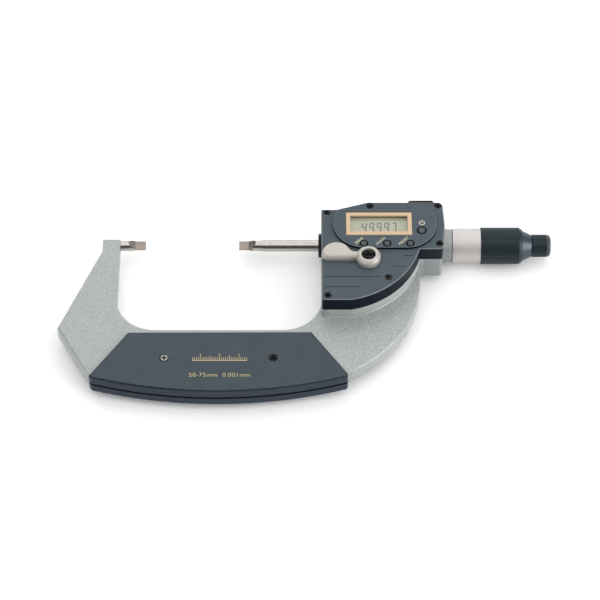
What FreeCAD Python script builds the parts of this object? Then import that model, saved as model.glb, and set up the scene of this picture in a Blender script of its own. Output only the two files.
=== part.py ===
import FreeCAD, Part
import math
import os

import Sketcher

# Digital blade micrometer, 50 to 75 mm.
# Row frame: the origin is the middle of the anvil's measuring face, +X runs along the
# measuring axis from the anvil to the ratchet, +Y points from the frame's bow to the
# axis and +Z stands out of the display.  Everything is in millimetres.

os.makedirs("parts", exist_ok=True)
doc = FreeCAD.newDocument("micrometer")

# ---------------------------------------------------------------- driving dimensions

SIZES = {
    # frame casting
    "frame_half": 4.5,
    "frame_round": 1.1,
    "house_round": 0.8,
    "boss_left": -22.9,
    "boss_right": -13.5,
    "boss_top": 1.7,
    "boss_half": 3.2,
    "boss_bend": -6.9,
    "boss_taper_foot": -17.0,
    "corner_left": -44.1,
    "corner_drop": -58.6,
    "toe_left": -26.6,
    "toe_drop": -89.9,
    "bow_left": -23.0,
    "bow_left_drop": -89.84,
    "bow_right": 90.0,
    "bow_right_drop": -93.95303,
    "bow_radius": 238.3551,
    "heel_radius": 70.4,
    "heel_right": 145.7,
    "heel_top": -16.62444,
    "throat_left": -13.75,
    "throat_right": 93.9,
    "throat_drop": -59.6,
    "throat_radius": 20.2,
    # raised platform and the housing that stands on it share one outline
    "house_left": 93.9,
    "house_drop": -51.2,
    "house_arc_start": 109.6,
    "house_arc_radius": 47.5,
    "house_step": 145.8,
    "house_step_drop": -17.3,
    "house_right": 157.9,
    "house_bulge": 159.4,
    "house_bulge_y": -1.0,
    "house_shoulder": 158.6,
    "house_top": 14.9,
    "house_slope_start": 102.0,
    "house_slope_end": 118.5,
    "house_left_top": 9.9,
    "platform_top": 10.1,
    "gasket_thick": 0.3,
    "cover_top": 18.7,
    "cover_wall": 2.2,
    "cover_front": 2.2,
    "cover_round": 0.8,
    "corner_large": 3.0,
    "corner_small": 1.8,
    # raised display panel
    "panel_left": 116.5,
    "panel_right": 138.6,
    "panel_middle": -1.0,
    "panel_radius": 16.5,
    "panel_top_edge": 8.6,
    "panel_top": 20.3,
    # display
    "bezel_left": 106.9,
    "bezel_right": 141.85,
    "bezel_low": -9.1,
    "bezel_high": 6.35,
    "bezel_side": 2.3,
    "bezel_floor": 19.5,
    "bezel_top": 20.5,
    "window_left": 108.0,
    "window_right": 141.0,
    "window_low": -8.2,
    "window_high": 5.0,
    "window_floor": 18.2,
    "window_top": 19.4,
    "lcd_left": 108.2,
    "lcd_right": 141.2,
    "lcd_low": -8.6,
    "lcd_high": 5.6,
    "lcd_floor": 15.9,
    "lcd_top": 18.0,
    "slack": 0.1,
    # buttons
    "button_row": -14.8,
    "set_x": 116.2,
    "unit_x": 128.5,
    "zero_x": 140.7,
    "power_x": 147.0,
    "power_y": -5.9,
    "button_cap": 1.65,
    "button_hole": 2.3,
    "power_cap": 2.0,
    "power_hole": 2.7,
    "button_foot": 13.95,
    "button_flange_low": 15.0,
    "button_flange_high": 16.2,
    "button_flange_lip": 0.9,
    "button_top": 20.8,
    "button_dome": 0.4,
    # circuit board and what stands on it
    "board_left": 104.0,
    "board_right": 153.0,
    "board_low": -17.2,
    "board_notch": 142.8,
    "board_notch_low": -14.9,
    "board_high": 8.0,
    "board_floor": 11.2,
    "board_top": 12.2,
    "mat_top": 13.4,
    "mat_left": 112.0,
    "mat_right": 151.2,
    "mat_strip_high": -11.4,
    "mat_power_left": 143.6,
    "mat_power_high": -2.2,
    "strip_left": 109.0,
    "strip_right": 140.0,
    "strip_wide": 1.4,
    "strip_low_row": -8.3,
    "strip_high_row": 4.0,
    "chip_left": 122.0,
    "chip_low": -5.5,
    "chip_side": 7.0,
    "chip_tall": 1.2,
    # cover screws, flush in counterbores
    "cover_screw_head": 1.85,
    "cover_screw_seat": 2.0,
    "cover_screw_sink": 1.5,
    "cover_screw_head_tall": 1.2,
    "cover_screw_shank": 0.95,
    "cover_screw_hole": 1.1,
    "cover_screw_long": 11.0,
    "cover_screw_boss": 2.7,
    "recess_wide": 0.8,
    "recess_deep": 0.7,
    # measuring spindle and anvil
    "blade_half": 0.375,
    "tip_radius": 2.8,
    "anvil_blade_end": -5.4,
    "anvil_runout_end": -9.2,
    "anvil_shank_end": -13.45,
    "anvil_stem_end": -20.0,
    "anvil_stem_radius": 1.2,
    "spindle_face": 50.0,
    "spindle_blade_end": 55.2,
    "spindle_runout_end": 59.0,
    "spindle_step": 62.6,
    "spindle_radius": 3.1,
    "spindle_tail_start": 164.7,
    "spindle_tail_radius": 2.9,
    "spindle_end": 204.3,
    "keyway_start": 133.5,
    "keyway_end": 162.5,
    "keyway_half": 1.1,
    "keyway_floor": 2.2,
    # seal, guide bushes and key
    "seal_front": 92.4,
    "seal_bore": 3.2,
    "seal_radius": 6.3,
    "bush_front": 94.0,
    "bush_end": 123.0,
    "bush_bore": 3.14,
    "bush_radius": 5.0,
    "key_x": 160.0,
    "key_radius": 1.0,
    "key_tip": -2.4,
    "key_foot": -8.9,
    "barrel_radius": 7.0,
    "collar_front": 158.0,
    "collar_end": 163.45,
    "collar_radius": 9.0,
    "spigot_front": 157.0,
    "spigot_radius": 6.6,
    # sleeve, nut and screw
    "sleeve_radius": 7.8,
    "sleeve_bore": 6.3,
    "sleeve_step": 163.9,
    "sleeve_end": 198.5,
    "nut_front": 190.0,
    "nut_end": 197.0,
    "nut_bore": 4.96,
    "adjuster_bore": 5.3,
    "screw_front": 165.0,
    "screw_radius": 4.9,
    "screw_bore": 3.0,
    "screw_flange_front": 199.4,
    "screw_flange_end": 202.0,
    "screw_flange_radius": 7.0,
    "tail_nut_front": 202.3,
    "tail_nut_radius": 4.0,
    # thimble
    "thimble_front": 163.8,
    "thimble_bore": 8.05,
    "thimble_radius": 9.25,
    "thimble_bevel": 0.25,
    "grip_front": 179.0,
    "grip_seat": 8.6,
    "grip_radius": 9.8,
    "grip_bevel_start": 199.4,
    "grip_end": 201.2,
    "grip_end_radius": 8.75,
    "grip_flutes": 56,
    "flute_deep": 0.42,
    "cone_front": 201.3,
    "cone_radius": 8.2,
    "cone_end": 206.2,
    "cone_end_radius": 5.95,
    "cap_cavity_radius": 4.5,
    "cap_wall_front": 204.6,
    "cap_wall_end": 205.3,
    # ratchet
    "ratchet_plate_radius": 4.8,
    "ratchet_plate_bore": 1.7,
    "ratchet_plate_end": 206.2,
    "ratchet_teeth": 12,
    "ratchet_tooth_deep": 0.4,
    "stud_radius": 1.5,
    "stud_head_front": 211.9,
    "stud_head_end": 213.4,
    "stud_head_radius": 3.0,
    "knob_front": 206.5,
    "knob_radius": 6.05,
    "knob_bevel": 0.3,
    "knob_bore": 1.58,
    "knob_floor": 208.4,
    "knob_hollow": 3.6,
    "knob_end": 214.2,
    "knob_flutes": 34,
    "knob_cap_plug": 213.7,
    "knob_cap_end": 216.6,
    "knob_cap_round": 2.0,
    "spring_radius": 2.6,
    "spring_wire": 0.3,
    "spring_pitch": 1.0,
    # encoder
    "pocket_left": 124.0,
    "pocket_right": 156.4,
    "pocket_half": 6.5,
    "pocket_floor": -3.6,
    "pocket_ledge": 8.0,
    "pocket_ledge_half": 8.5,
    "carrier_left": 124.6,
    "carrier_long": 6.2,
    "carrier_half": 5.6,
    "carrier_low": -3.2,
    "carrier_high": 6.4,
    "slider_half": 5.0,
    "slider_thick": 1.2,
    "encoder_half": 8.3,
    "encoder_thick": 1.2,
    # spindle clamp
    "clamp_x": 118.5,
    "clamp_y": -24.2,
    "clamp_bore": 4.0,
    "clamp_shaft": 3.95,
    "clamp_floor": -2.5,
    "cam_foot": -2.3,
    "cam_top": 2.4,
    "cam_radius": 3.4,
    "cam_offset": 0.35,
    "shaft_shoulder": 18.9,
    "shaft_spigot": 3.0,
    "shaft_end": 21.4,
    "cover_shaft_hole": 4.35,
    "cover_shaft_boss": 6.2,
    "plunger_radius": 1.5,
    "plunger_bore": 1.6,
    "plunger_low": -20.59,
    "plunger_high": -3.5,
    # lock lever
    "lever_floor": 19.0,
    "lever_top": 22.6,
    "lever_round": 2.2,
    "hub_radius": 6.4,
    "hub_side": 21.3,
    "hub_top": 23.2,
    "hub_top_radius": 4.7,
    "dish_radius": 3.8,
    "lever_screw_head": 3.6,
    "lever_screw_top": 22.7,
    "lever_screw_shank": 1.5,
    "lever_screw_deep": 5.0,
    "paddle_left": 94.0,
    "paddle_left_y": -22.4,
    "paddle_low": -25.5,
    "paddle_low_left": 97.0,
    "paddle_low_round": 3.1,
    "paddle_crest": 101.6,
    "paddle_crest_y": -14.7,
    "paddle_crest_round": 7.9,
    "paddle_shoulder": 108.3,
    "paddle_shoulder_y": -18.6,
    "paddle_shoulder_round": 7.6,
    "neck_x": 111.0,
    "neck_y": -20.9,
    "neck_round": 4.2,
    # heat-insulating plates
    "plate_out": 6.0,
    "plate_gap": 0.55,
    "plate_top_left": -7.0,
    "plate_top_left_y": -62.6,
    "plate_top_right": 88.5,
    "plate_top_right_y": -62.3,
    "plate_right": 107.3,
    "plate_right_y": -89.2,
    "plate_right_low_y": -91.1,
    "plate_left": -26.2,
    "plate_left_y": -90.5,
    "plate_low_left": -25.0,
    "plate_low_left_y": -92.1,
    "plate_radius": 239.4,
    "plate_round": 1.0,
    "plate_corner": 1.6,
    "plate_screw_a": 12.3,
    "plate_screw_b": 68.8,
    "plate_screw_y": -79.4,
    "plate_screw_head": 2.5,
    "plate_screw_shank": 1.2,
    "plate_screw_hole": 1.25,
    "plate_screw_sink": 1.3,
    "plate_screw_long": 4.6,
    # data port on the top edge
    "port_left": 141.0,
    "port_right": 152.0,
    "port_low": 12.2,
    "port_high": 15.8,
    "port_back": 5.0,
    "port_mouth": 12.6,
    "flap_left": 139.4,
    "flap_right": 154.8,
    "flap_low": 10.9,
    "flap_high": 17.1,
    "flap_seat": 15.0,
    "flap_top": 17.6,
    "flap_round": 0.6,
    "flap_slope": 1.9,
    # back cover and battery
    "back_floor": -9.9,
    "back_inner": -8.3,
    "back_left": 97.0,
    "back_drop": -47.0,
    "back_arc_start": 108.6,
    "back_arc_end": 142.6,
    "back_arc_end_y": -12.6,
    "back_arc_radius": 44.0,
    "back_right": 155.2,
    "back_top": 10.8,
    "back_slope_end": 119.0,
    "back_left_top": 7.9,
    "back_wall": 1.6,
    "back_screw_long": 7.5,
    "back_screw_post": 2.2,
    "cell_x": 113.0,
    "cell_y": -32.5,
    "cell_radius": 10.0,
    "cell_low": -8.4,
    "cell_high": -5.2,
    "cell_ring_bore": 10.3,
    "cell_ring": 11.4,
    "cap_seat": -9.0,
    "cap_radius": 11.0,
    "cap_hole": 11.15,
    "cap_disc_top": -9.3,
    "cap_neck": 10.0,
    "cap_neck_top": -8.5,
    "cap_seal_radius": 10.9,
    "coin_slot_long": 12.0,
    "coin_slot_wide": 1.8,
    "coin_slot_deep": 0.7,
}

# Where the repeated screws stand, as (x, y) in the front view.
COVER_SCREWS = ((97.0, 7.6), (119.9, 12.2), (156.0, 12.4), (156.2, -13.6), (128.8, -36.4), (97.2, -48.2))
BACK_SCREWS = ((99.9, -44.0), (136.5, -23.0), (152.4, -9.9), (126.0, 9.0))
FACE_GROOVES = ((95.4, 124.4, -35.9), (95.4, 113.8, -42.7), (137.2, 142.5, -21.9), (131.3, 138.7, -29.0))
GROOVE_WIDE = 0.5
GROOVE_DEEP = 0.25
SPRING_TURNS = 2.6

sheet = doc.addObject("Spreadsheet::Sheet", "sizes")
for row, (alias, number) in enumerate(SIZES.items(), start=1):
    sheet.set(f"A{row}", alias)
    sheet.set(f"B{row}", str(number))
    sheet.setAlias(f"B{row}", alias)
doc.recompute()

SUB_PARTS = []


# ---------------------------------------------------------------- sizes as text

# A size is written as text: aliases or numbers joined by " + " and " - ", and factors
# by "*", such as "nut_end - 2*plate_gap".


def amount(size):
    """The number that a size stands for, from the spreadsheet."""
    total, sign = 0.0, 1.0
    for word in str(size).split():
        if word in "+-":
            sign = 1.0 if word == "+" else -1.0
            continue
        product = sign
        for factor in word.split("*"):
            negative = factor.startswith("-")
            name = factor.lstrip("-")
            value = sheet.get(name) if name in SIZES else float(name)
            product *= -value if negative else value
        total += product
        sign = 1.0
    return total


def bound(size):
    """The same size as an expression on the spreadsheet's cells."""
    words = []
    for word in str(size).split():
        factors = []
        for factor in word.split("*"):
            negative = factor.startswith("-")
            name = factor.lstrip("-")
            cell = f"sizes.{name}" if name in SIZES else name
            factors.append(f"(-{cell})" if negative and name else cell)
        words.append(word if word in "+-" else " * ".join(factors))
    return " ".join(words)


def bind(thing, prop, size):
    thing.setExpression(prop, bound(size))


def bind_span(thing, prop, low, high):
    """Drive a length by the distance from low up to high."""
    thing.setExpression(prop, f"({bound(high)}) - ({bound(low)})")


# ---------------------------------------------------------------- sketches and bodies


def new_body(name):
    body = doc.addObject("PartDesign::Body", name)
    body.Label = name
    return body


def new_sketch(body, role, height):
    """A sketch on one of the body's own origin planes, lifted by height along its normal."""
    sketch = body.newObject("Sketcher::SketchObject", "outline")
    plane = next(item for item in body.Origin.OriginFeatures if item.Role == role)
    sketch.AttachmentSupport = [(plane, "")]
    sketch.MapMode = "FlatFace"
    bind(sketch, ".AttachmentOffset.Base.z", height)
    return sketch


def pin_point(sketch, item, end, x, y):
    """Hold one end of a sketch item at (x, y)."""
    for size, kind, axis in ((x, "DistanceX", -2), (y, "DistanceY", -1)):
        if amount(size) == 0.0:
            sketch.addConstraint(Sketcher.Constraint("PointOnObject", item, end, axis))
        else:
            index = sketch.addConstraint(Sketcher.Constraint(kind, -1, 1, item, end, amount(size)))
            bind(sketch, f"Constraints[{index}]", size)


def arc_between(start, end, radius):
    """A circular arc from start to end, counter-clockwise for a positive radius."""
    first, last = (start, end) if radius > 0 else (end, start)
    chord = last.sub(first)
    reach = math.sqrt(max(radius * radius - chord.Length**2 / 4, 0.0))
    side = FreeCAD.Vector(-chord.y, chord.x, 0).normalize()
    centre = first.add(last).multiply(0.5).add(side.multiply(reach))
    circle = Part.Circle(centre, FreeCAD.Vector(0, 0, 1), abs(radius))
    angle_a = math.atan2(first.y - centre.y, first.x - centre.x)
    angle_b = math.atan2(last.y - centre.y, last.x - centre.x)
    return Part.ArcOfCircle(circle, angle_a, angle_b)


def draw_outline(sketch, points):
    """A closed outline through points (x, y) or (x, y, radius): a radius curves the side that
    leaves the point, to the left of its chord's right-hand side when it is positive."""
    spots = [FreeCAD.Vector(amount(point[0]), amount(point[1]), 0) for point in points]
    ends = []
    for index, point in enumerate(points):
        start, end = spots[index], spots[(index + 1) % len(spots)]
        radius = amount(point[2]) if len(point) == 3 else 0.0
        shape = arc_between(start, end, radius) if radius else Part.LineSegment(start, end)
        item = sketch.addGeometry(shape, False)
        ends.append((item, 2, 1) if radius < 0 else (item, 1, 2))
    for index, point in enumerate(points):
        item, start, _ = ends[index]
        before, _, finish = ends[index - 1]
        sketch.addConstraint(Sketcher.Constraint("Coincident", before, finish, item, start))
        pin_point(sketch, item, start, point[0], point[1])
        if len(point) == 3:
            number = sketch.addConstraint(Sketcher.Constraint("Radius", item, abs(amount(point[2]))))
            bind(sketch, f"Constraints[{number}]", point[2].lstrip("-"))


def rectangle(left, low, right, high):
    return [(left, low), (right, low), (right, high), (left, high)]


def pad(body, points, low, high, role="XY_Plane"):
    """Add the outline to the body from low to high along the plane's normal."""
    sketch = new_sketch(body, role, low)
    draw_outline(sketch, points)
    feature = body.newObject("PartDesign::Pad", "pad")
    feature.Profile = sketch
    bind_span(feature, "Length", low, high)
    return feature


def prism(name, points, low, high, role="XY_Plane"):
    body = new_body(name)
    pad(body, points, low, high, role)
    return body


def turned(name, profile, about="X"):
    """A body of revolution.  The profile's points are (distance along the axis, radius)."""
    body = new_body(name)
    if about == "X":
        sketch = new_sketch(body, "XY_Plane", "0")
        draw_outline(sketch, profile)
    else:
        sketch = new_sketch(body, "XZ_Plane", "0")
        draw_outline(sketch, [(point[1], point[0], *point[2:]) for point in profile])
    feature = body.newObject("PartDesign::Revolution", "turning")
    feature.Profile = sketch
    feature.ReferenceAxis = (sketch, ["H_Axis" if about == "X" else "V_Axis"])
    feature.Angle = 360
    return body


def move(thing, x="0", y="0", z="0"):
    """Place a sub-part, or a tool that shapes one."""
    for axis, size in (("x", x), ("y", y), ("z", z)):
        bind(thing, f".Placement.Base.{axis}", size)
    return thing


def round_edges(body, chosen, radius, kind="Fillet"):
    """Fillet or chamfer the body's edges for which chosen(edge) is true."""
    doc.recompute()
    tip = body.Tip
    names = [f"Edge{index}" for index, edge in enumerate(tip.Shape.Edges, start=1) if chosen(edge)]
    feature = body.newObject(f"PartDesign::{kind}", "rounding")
    feature.Base = (tip, names)
    bind(feature, "Radius" if kind == "Fillet" else "Size", radius)
    doc.recompute()
    return feature


def at_height(edge, axis, size):
    """True for an edge that lies flat at one coordinate along axis 0, 1 or 2."""
    box = edge.BoundBox
    low, high = ((box.XMin, box.XMax), (box.YMin, box.YMax), (box.ZMin, box.ZMax))[axis]
    return abs(low - amount(size)) < 0.01 and abs(high - amount(size)) < 0.01


def round_corners(body, corners, radius):
    """Round the body's upright edges over the corners, each an (x, y)."""
    spots = [FreeCAD.Vector(amount(x), amount(y), 0) for x, y in corners]

    def upright(edge):
        box = edge.BoundBox
        foot = FreeCAD.Vector(box.Center.x, box.Center.y, 0)
        return box.ZLength > 3 and any(foot.distanceToPoint(spot) < 0.01 for spot in spots)

    round_edges(body, upright, radius)


def round_house_corners(body):
    """Round the housing's upright corners, the top right one more than the others."""
    round_corners(body, [("house_shoulder", "house_top")], "corner_large")
    round_corners(body, [("house_right", "house_step_drop"), ("house_left", "house_drop")], "corner_small")


# ---------------------------------------------------------------- primitives and booleans

TURN_TO = {
    "X": FreeCAD.Rotation(FreeCAD.Vector(0, 1, 0), 90),
    "Y": FreeCAD.Rotation(FreeCAD.Vector(1, 0, 0), -90),
    "Z": FreeCAD.Rotation(),
}


def cylinder(name, axis, start, radius, length):
    """A cylinder that leaves start = (x, y, z) along +axis."""
    rod = doc.addObject("Part::Cylinder", name)
    rod.Placement = FreeCAD.Placement(FreeCAD.Vector(), TURN_TO[axis])
    bind(rod, "Radius", radius)
    bind(rod, "Height", length)
    return move(rod, *start)


def block(name, low, high):
    """A box between two corners."""
    box = doc.addObject("Part::Box", name)
    for prop, start, end in zip(("Length", "Width", "Height"), low, high):
        bind_span(box, prop, start, end)
    return move(box, *low)


def joined(name, pieces):
    whole = doc.addObject("Part::MultiFuse", name)
    whole.Label = name
    whole.Shapes = pieces
    return whole


def cut(name, base, tools):
    """base less the tools."""
    result = doc.addObject("Part::Cut", name)
    result.Label = name
    result.Base = base
    result.Tool = tools[0] if len(tools) == 1 else joined(f"{name}_tools", tools)
    return result


def group(name, pieces):
    """Separate solids that share one node."""
    result = doc.addObject("Part::Compound", name)
    result.Label = name
    result.Links = pieces
    return result


def keep(thing):
    """List a finished sub-part for export."""
    SUB_PARTS.append(thing)
    return thing


# ---------------------------------------------------------------- shared outlines

FRAME_OUTLINE = [
    ("boss_right", "boss_top"),
    ("boss_left", "boss_top"),
    ("boss_left", "boss_bend"),
    ("corner_left", "corner_drop"),
    ("toe_left", "toe_drop"),
    ("bow_left", "bow_left_drop", "bow_radius"),
    ("bow_right", "bow_right_drop", "heel_radius"),
    ("heel_right", "heel_top"),
    ("heel_right - 20", "house_left_top - 3"),
    ("throat_right", "house_left_top - 3"),
    ("throat_right", "throat_drop + throat_radius", "-throat_radius"),
    ("throat_right - throat_radius", "throat_drop"),
    ("throat_left + throat_radius", "throat_drop", "-throat_radius"),
    ("throat_left", "throat_drop + throat_radius"),
]


def house_outline(inset="0"):
    """The housing's outline, or one that lies inset inside it."""
    return [
        (f"house_left + {inset}", f"house_drop + {inset}"),
        (f"house_arc_start - 0.35*{inset}", f"house_drop + {inset}", f"house_arc_radius - {inset}"),
        (f"house_step - {inset}", f"house_step_drop + {inset}"),
        (f"house_right - {inset}", f"house_step_drop + {inset}"),
        (f"house_bulge - {inset}", "house_bulge_y"),
        (f"house_shoulder - {inset}", f"house_top - {inset}"),
        (f"house_slope_end + 0.1*{inset}", f"house_top - {inset}"),
        (f"house_slope_start + 0.1*{inset}", f"house_left_top - {inset}"),
        (f"house_left + {inset}", f"house_left_top - {inset}"),
    ]


def back_outline(inset="0"):
    return [
        (f"back_left + {inset}", f"back_drop + {inset}"),
        (f"back_arc_start - 0.3*{inset}", f"back_drop + {inset}", f"back_arc_radius - {inset}"),
        (f"back_arc_end - {inset}", f"back_arc_end_y + {inset}"),
        (f"back_right - {inset}", f"back_arc_end_y + {inset}"),
        (f"back_right - {inset}", f"back_top - {inset}"),
        (f"back_slope_end + 0.1*{inset}", f"back_top - {inset}"),
        (f"back_left + {inset}", f"back_left_top - {inset}"),
    ]


# ---------------------------------------------------------------- frame and anvil


def make_frame():
    body = prism("frame_casting", FRAME_OUTLINE, "-frame_half", "frame_half")

    def rim(edge):
        return at_height(edge, 2, "frame_half") or at_height(edge, 2, "-frame_half")

    round_edges(body, rim, "frame_round")
    pad(body, house_outline(), "-frame_half", "platform_top")
    round_house_corners(body)

    def back_rim(edge):
        middle = edge.BoundBox.Center
        beside = middle.x > amount("heel_right") or middle.y > amount("boss_top")
        return beside and at_height(edge, 2, "-frame_half")

    round_edges(body, back_rim, "house_round")
    tools = [
        cylinder("spindle_bore", "X", ("bush_front - 2", "0", "0"), "bush_radius", "70"),
        cylinder("sleeve_socket", "X", ("spigot_front", "0", "0"), "spigot_radius", "7"),
        cylinder("anvil_bore", "X", ("anvil_stem_end", "0", "0"), "anvil_stem_radius", "9"),
        block(
            "encoder_well",
            ("pocket_left", "-pocket_half", "pocket_floor"),
            ("pocket_right", "pocket_half", "platform_top + 1"),
        ),
        block(
            "encoder_ledge",
            ("pocket_left", "-pocket_ledge_half", "pocket_ledge"),
            ("pocket_right", "pocket_ledge_half", "platform_top + 1"),
        ),
        cylinder("clamp_socket", "Z", ("clamp_x", "clamp_y", "clamp_floor"), "clamp_bore", "20"),
        cylinder("plunger_way", "Y", ("clamp_x", "clamp_y", "0"), "plunger_bore", "20"),
        cylinder("key_hole", "Z", ("key_x", "0", "-12"), "key_radius", "10"),
    ]
    for x, y in COVER_SCREWS:
        tools.append(cylinder("cover_thread", "Z", (x, y, "5"), "cover_screw_shank", "6"))
    for x in ("plate_screw_a", "plate_screw_b"):
        tools.append(cylinder("plate_thread", "Z", (x, "plate_screw_y", "-8"), "plate_screw_hole", "16"))
    for x, y in BACK_SCREWS:
        tools.append(cylinder("back_thread", "Z", (x, y, "-6"), "cover_screw_shank", "5"))
    barrel = cylinder("barrel", "X", ("throat_right", "0", "0"), "barrel_radius", "64.2")
    collar = cylinder(
        "collar", "X", ("collar_front", "0", "0"), "collar_radius", "collar_end - collar_front"
    )
    # the left arm thins towards the anvil
    thinning = []
    for name, side in (("front_thinning", ""), ("back_thinning", "-")):
        face = [
            ("boss_top + 2", f"{side}boss_half"),
            ("boss_top + 2", f"{side}frame_half*2"),
            ("boss_taper_foot", f"{side}frame_half*2"),
            ("boss_taper_foot", f"{side}frame_half"),
            ("-2", f"{side}boss_half"),
        ]
        order = face if side == "" else face[::-1]
        thinning.append(prism(name, order, "boss_left - 8", "boss_right + 5", "YZ_Plane"))
    keep(cut("frame", joined("frame_blank", [body, barrel, collar]), tools + thinning))


def blade_cutters(face, blade_end, runout_end):
    """The two wedges milled off a round tip to leave its flat blade."""
    past = "tip_radius + 1"
    beyond = f"{face} + 1" if face == "0" else f"{face} - 1"
    cutters = []
    for name, side in (("blade_top", ""), ("blade_bottom", "-")):
        points = [
            (beyond, f"{side}blade_half"),
            (blade_end, f"{side}blade_half"),
            (runout_end, f"{side}tip_radius + 0.05" if side == "" else "-tip_radius - 0.05"),
            (runout_end, past if side == "" else "-tip_radius - 1"),
            (beyond, past if side == "" else "-tip_radius - 1"),
        ]
        cutters.append(prism(name, points, "-4", "4", "XZ_Plane"))
    return cutters


def make_anvil():
    shank = turned(
        "anvil_shank",
        [
            ("anvil_stem_end", "0"),
            ("0", "0"),
            ("0", "tip_radius"),
            ("anvil_shank_end", "tip_radius"),
            ("anvil_shank_end", "anvil_stem_radius"),
            ("anvil_stem_end", "anvil_stem_radius"),
        ],
    )
    keep(cut("anvil", shank, blade_cutters("0", "anvil_blade_end", "anvil_runout_end")))


# ---------------------------------------------------------------- heat-insulating plates


def make_plate(name, side):
    """side is '' for the front plate and '-' for the back one.  The rim under the frame's
    bow closes the gap down to the middle plane."""
    low, high = ("plate_gap", "plate_out") if side == "" else ("-plate_out", "-plate_gap")
    outline = [
        ("plate_top_left", "plate_top_left_y"),
        ("plate_left", "plate_left_y"),
        ("plate_low_left", "plate_low_left_y", "plate_radius"),
        ("plate_right", "plate_right_low_y"),
        ("plate_right", "plate_right_y"),
        ("plate_top_right", "plate_top_right_y"),
    ]
    body = prism(f"{name}_blank", outline, low, high)
    round_corners(body, [("plate_right", "plate_right_low_y")], "plate_corner")
    outer_face = f"{side}plate_out"
    round_edges(body, lambda edge: at_height(edge, 2, outer_face), "plate_round")
    bow_filler = [
        ("corner_left", "corner_drop"),
        ("toe_left", "toe_drop"),
        ("bow_left", "bow_left_drop", "bow_radius"),
        ("bow_right", "bow_right_drop", "heel_radius"),
        ("heel_right", "heel_top"),
    ]
    low, high = ("-1", "frame_half") if side == "" else ("-frame_half", "1")
    filler = prism(f"{name}_hollow", bow_filler, low, high)
    tools = [filler]
    for x in ("plate_screw_a", "plate_screw_b"):
        tools.append(cylinder("plate_hole", "Z", (x, "plate_screw_y", "-8"), "plate_screw_hole", "16"))
        tools.append(countersink(x, side))
    keep(cut(name, body, tools))


def countersink(x, side):
    """The cone that a plate screw's head sits in."""
    cone = doc.addObject("Part::Cone", "countersink")
    if side == "-":
        cone.Placement = FreeCAD.Placement(FreeCAD.Vector(), FreeCAD.Rotation(FreeCAD.Vector(1, 0, 0), 180))
    bind(cone, "Radius1", "plate_screw_hole")
    bind(cone, "Radius2", "plate_screw_head + 0.05")
    bind(cone, "Height", "plate_screw_sink")
    return move(cone, x, "plate_screw_y", f"{side}plate_out + {'-' if side == '' else ''}plate_screw_sink")


def cross_recess(x, y, top, reach, down="-"):
    """Two crossed slots, sunk from top into a screw's head."""
    slots = []
    for wide, tall in ((reach, "recess_wide*0.5"), ("recess_wide*0.5", reach)):
        low_z, high_z = (f"{top} - recess_deep", f"{top} + 1")
        if down == "+":
            low_z, high_z = (f"{top} - 1", f"{top} + recess_deep")
        low = (f"{x} - {wide}", f"{y} - {tall}", low_z)
        high = (f"{x} + {wide}", f"{y} + {tall}", high_z)
        slots.append(block("slot", low, high))
    return slots


def make_plate_screws():
    screws = []
    for side in ("", "-"):
        for x in ("plate_screw_a", "plate_screw_b"):
            profile = [
                ("0", "0"),
                ("0", "plate_screw_head"),
                ("-plate_screw_sink", "plate_screw_shank"),
                ("-plate_screw_long", "plate_screw_shank"),
                ("-plate_screw_long", "0"),
            ]
            blank = turned("plate_screw_blank", profile, "Z")
            reach = "plate_screw_head*0.6"
            screw = cut("plate_screw", blank, cross_recess("0", "0", "0", reach))
            if side == "-":
                turn = FreeCAD.Rotation(FreeCAD.Vector(1, 0, 0), 180)
                screw.Placement = FreeCAD.Placement(FreeCAD.Vector(), turn)
            screws.append(move(screw, x, "plate_screw_y", f"{side}plate_out"))
    keep(group("plate_screws", screws))


# ---------------------------------------------------------------- spindle and its guides


def ring(name, front, end, bore, radius):
    """A plain ring about the measuring axis."""
    return turned(name, [(front, bore), (end, bore), (end, radius), (front, radius)])


def make_guides():
    keep(ring("seal_ring", "seal_front", "throat_right", "seal_bore", "seal_radius"))
    bush = ring("front_bush_blank", "bush_front", "bush_end", "bush_bore", "bush_radius")
    way = cylinder("bush_window", "Y", ("clamp_x", "-8", "0"), "plunger_bore", "8")
    keep(cut("front_bush", bush, [way]))
    bush = ring("rear_bush_blank", "spigot_front", "collar_end", "bush_bore", "bush_radius")
    key_way = cylinder("bush_key_hole", "Z", ("key_x", "0", "-12"), "key_radius", "12")
    keep(cut("rear_bush", bush, [key_way]))
    keep(cylinder("key_pin", "Z", ("key_x", "0", "key_foot"), "key_radius", "key_tip - key_foot"))


def make_spindle():
    profile = [
        ("spindle_face", "0"),
        ("spindle_end", "0"),
        ("spindle_end", "spindle_tail_radius"),
        ("spindle_tail_start", "spindle_tail_radius"),
        ("spindle_tail_start", "spindle_radius"),
        ("spindle_step", "spindle_radius"),
        ("spindle_step", "tip_radius"),
        ("spindle_face", "tip_radius"),
    ]
    keyway = block(
        "keyway",
        ("keyway_start", "-keyway_half", "-spindle_radius - 1"),
        ("keyway_end", "keyway_half", "-keyway_floor"),
    )
    tools = blade_cutters("spindle_face", "spindle_blade_end", "spindle_runout_end") + [keyway]
    keep(cut("spindle", turned("spindle_blank", profile), tools))
    keep(ring("tail_nut", "tail_nut_front", "spindle_end", "spindle_tail_radius", "tail_nut_radius"))


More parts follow.
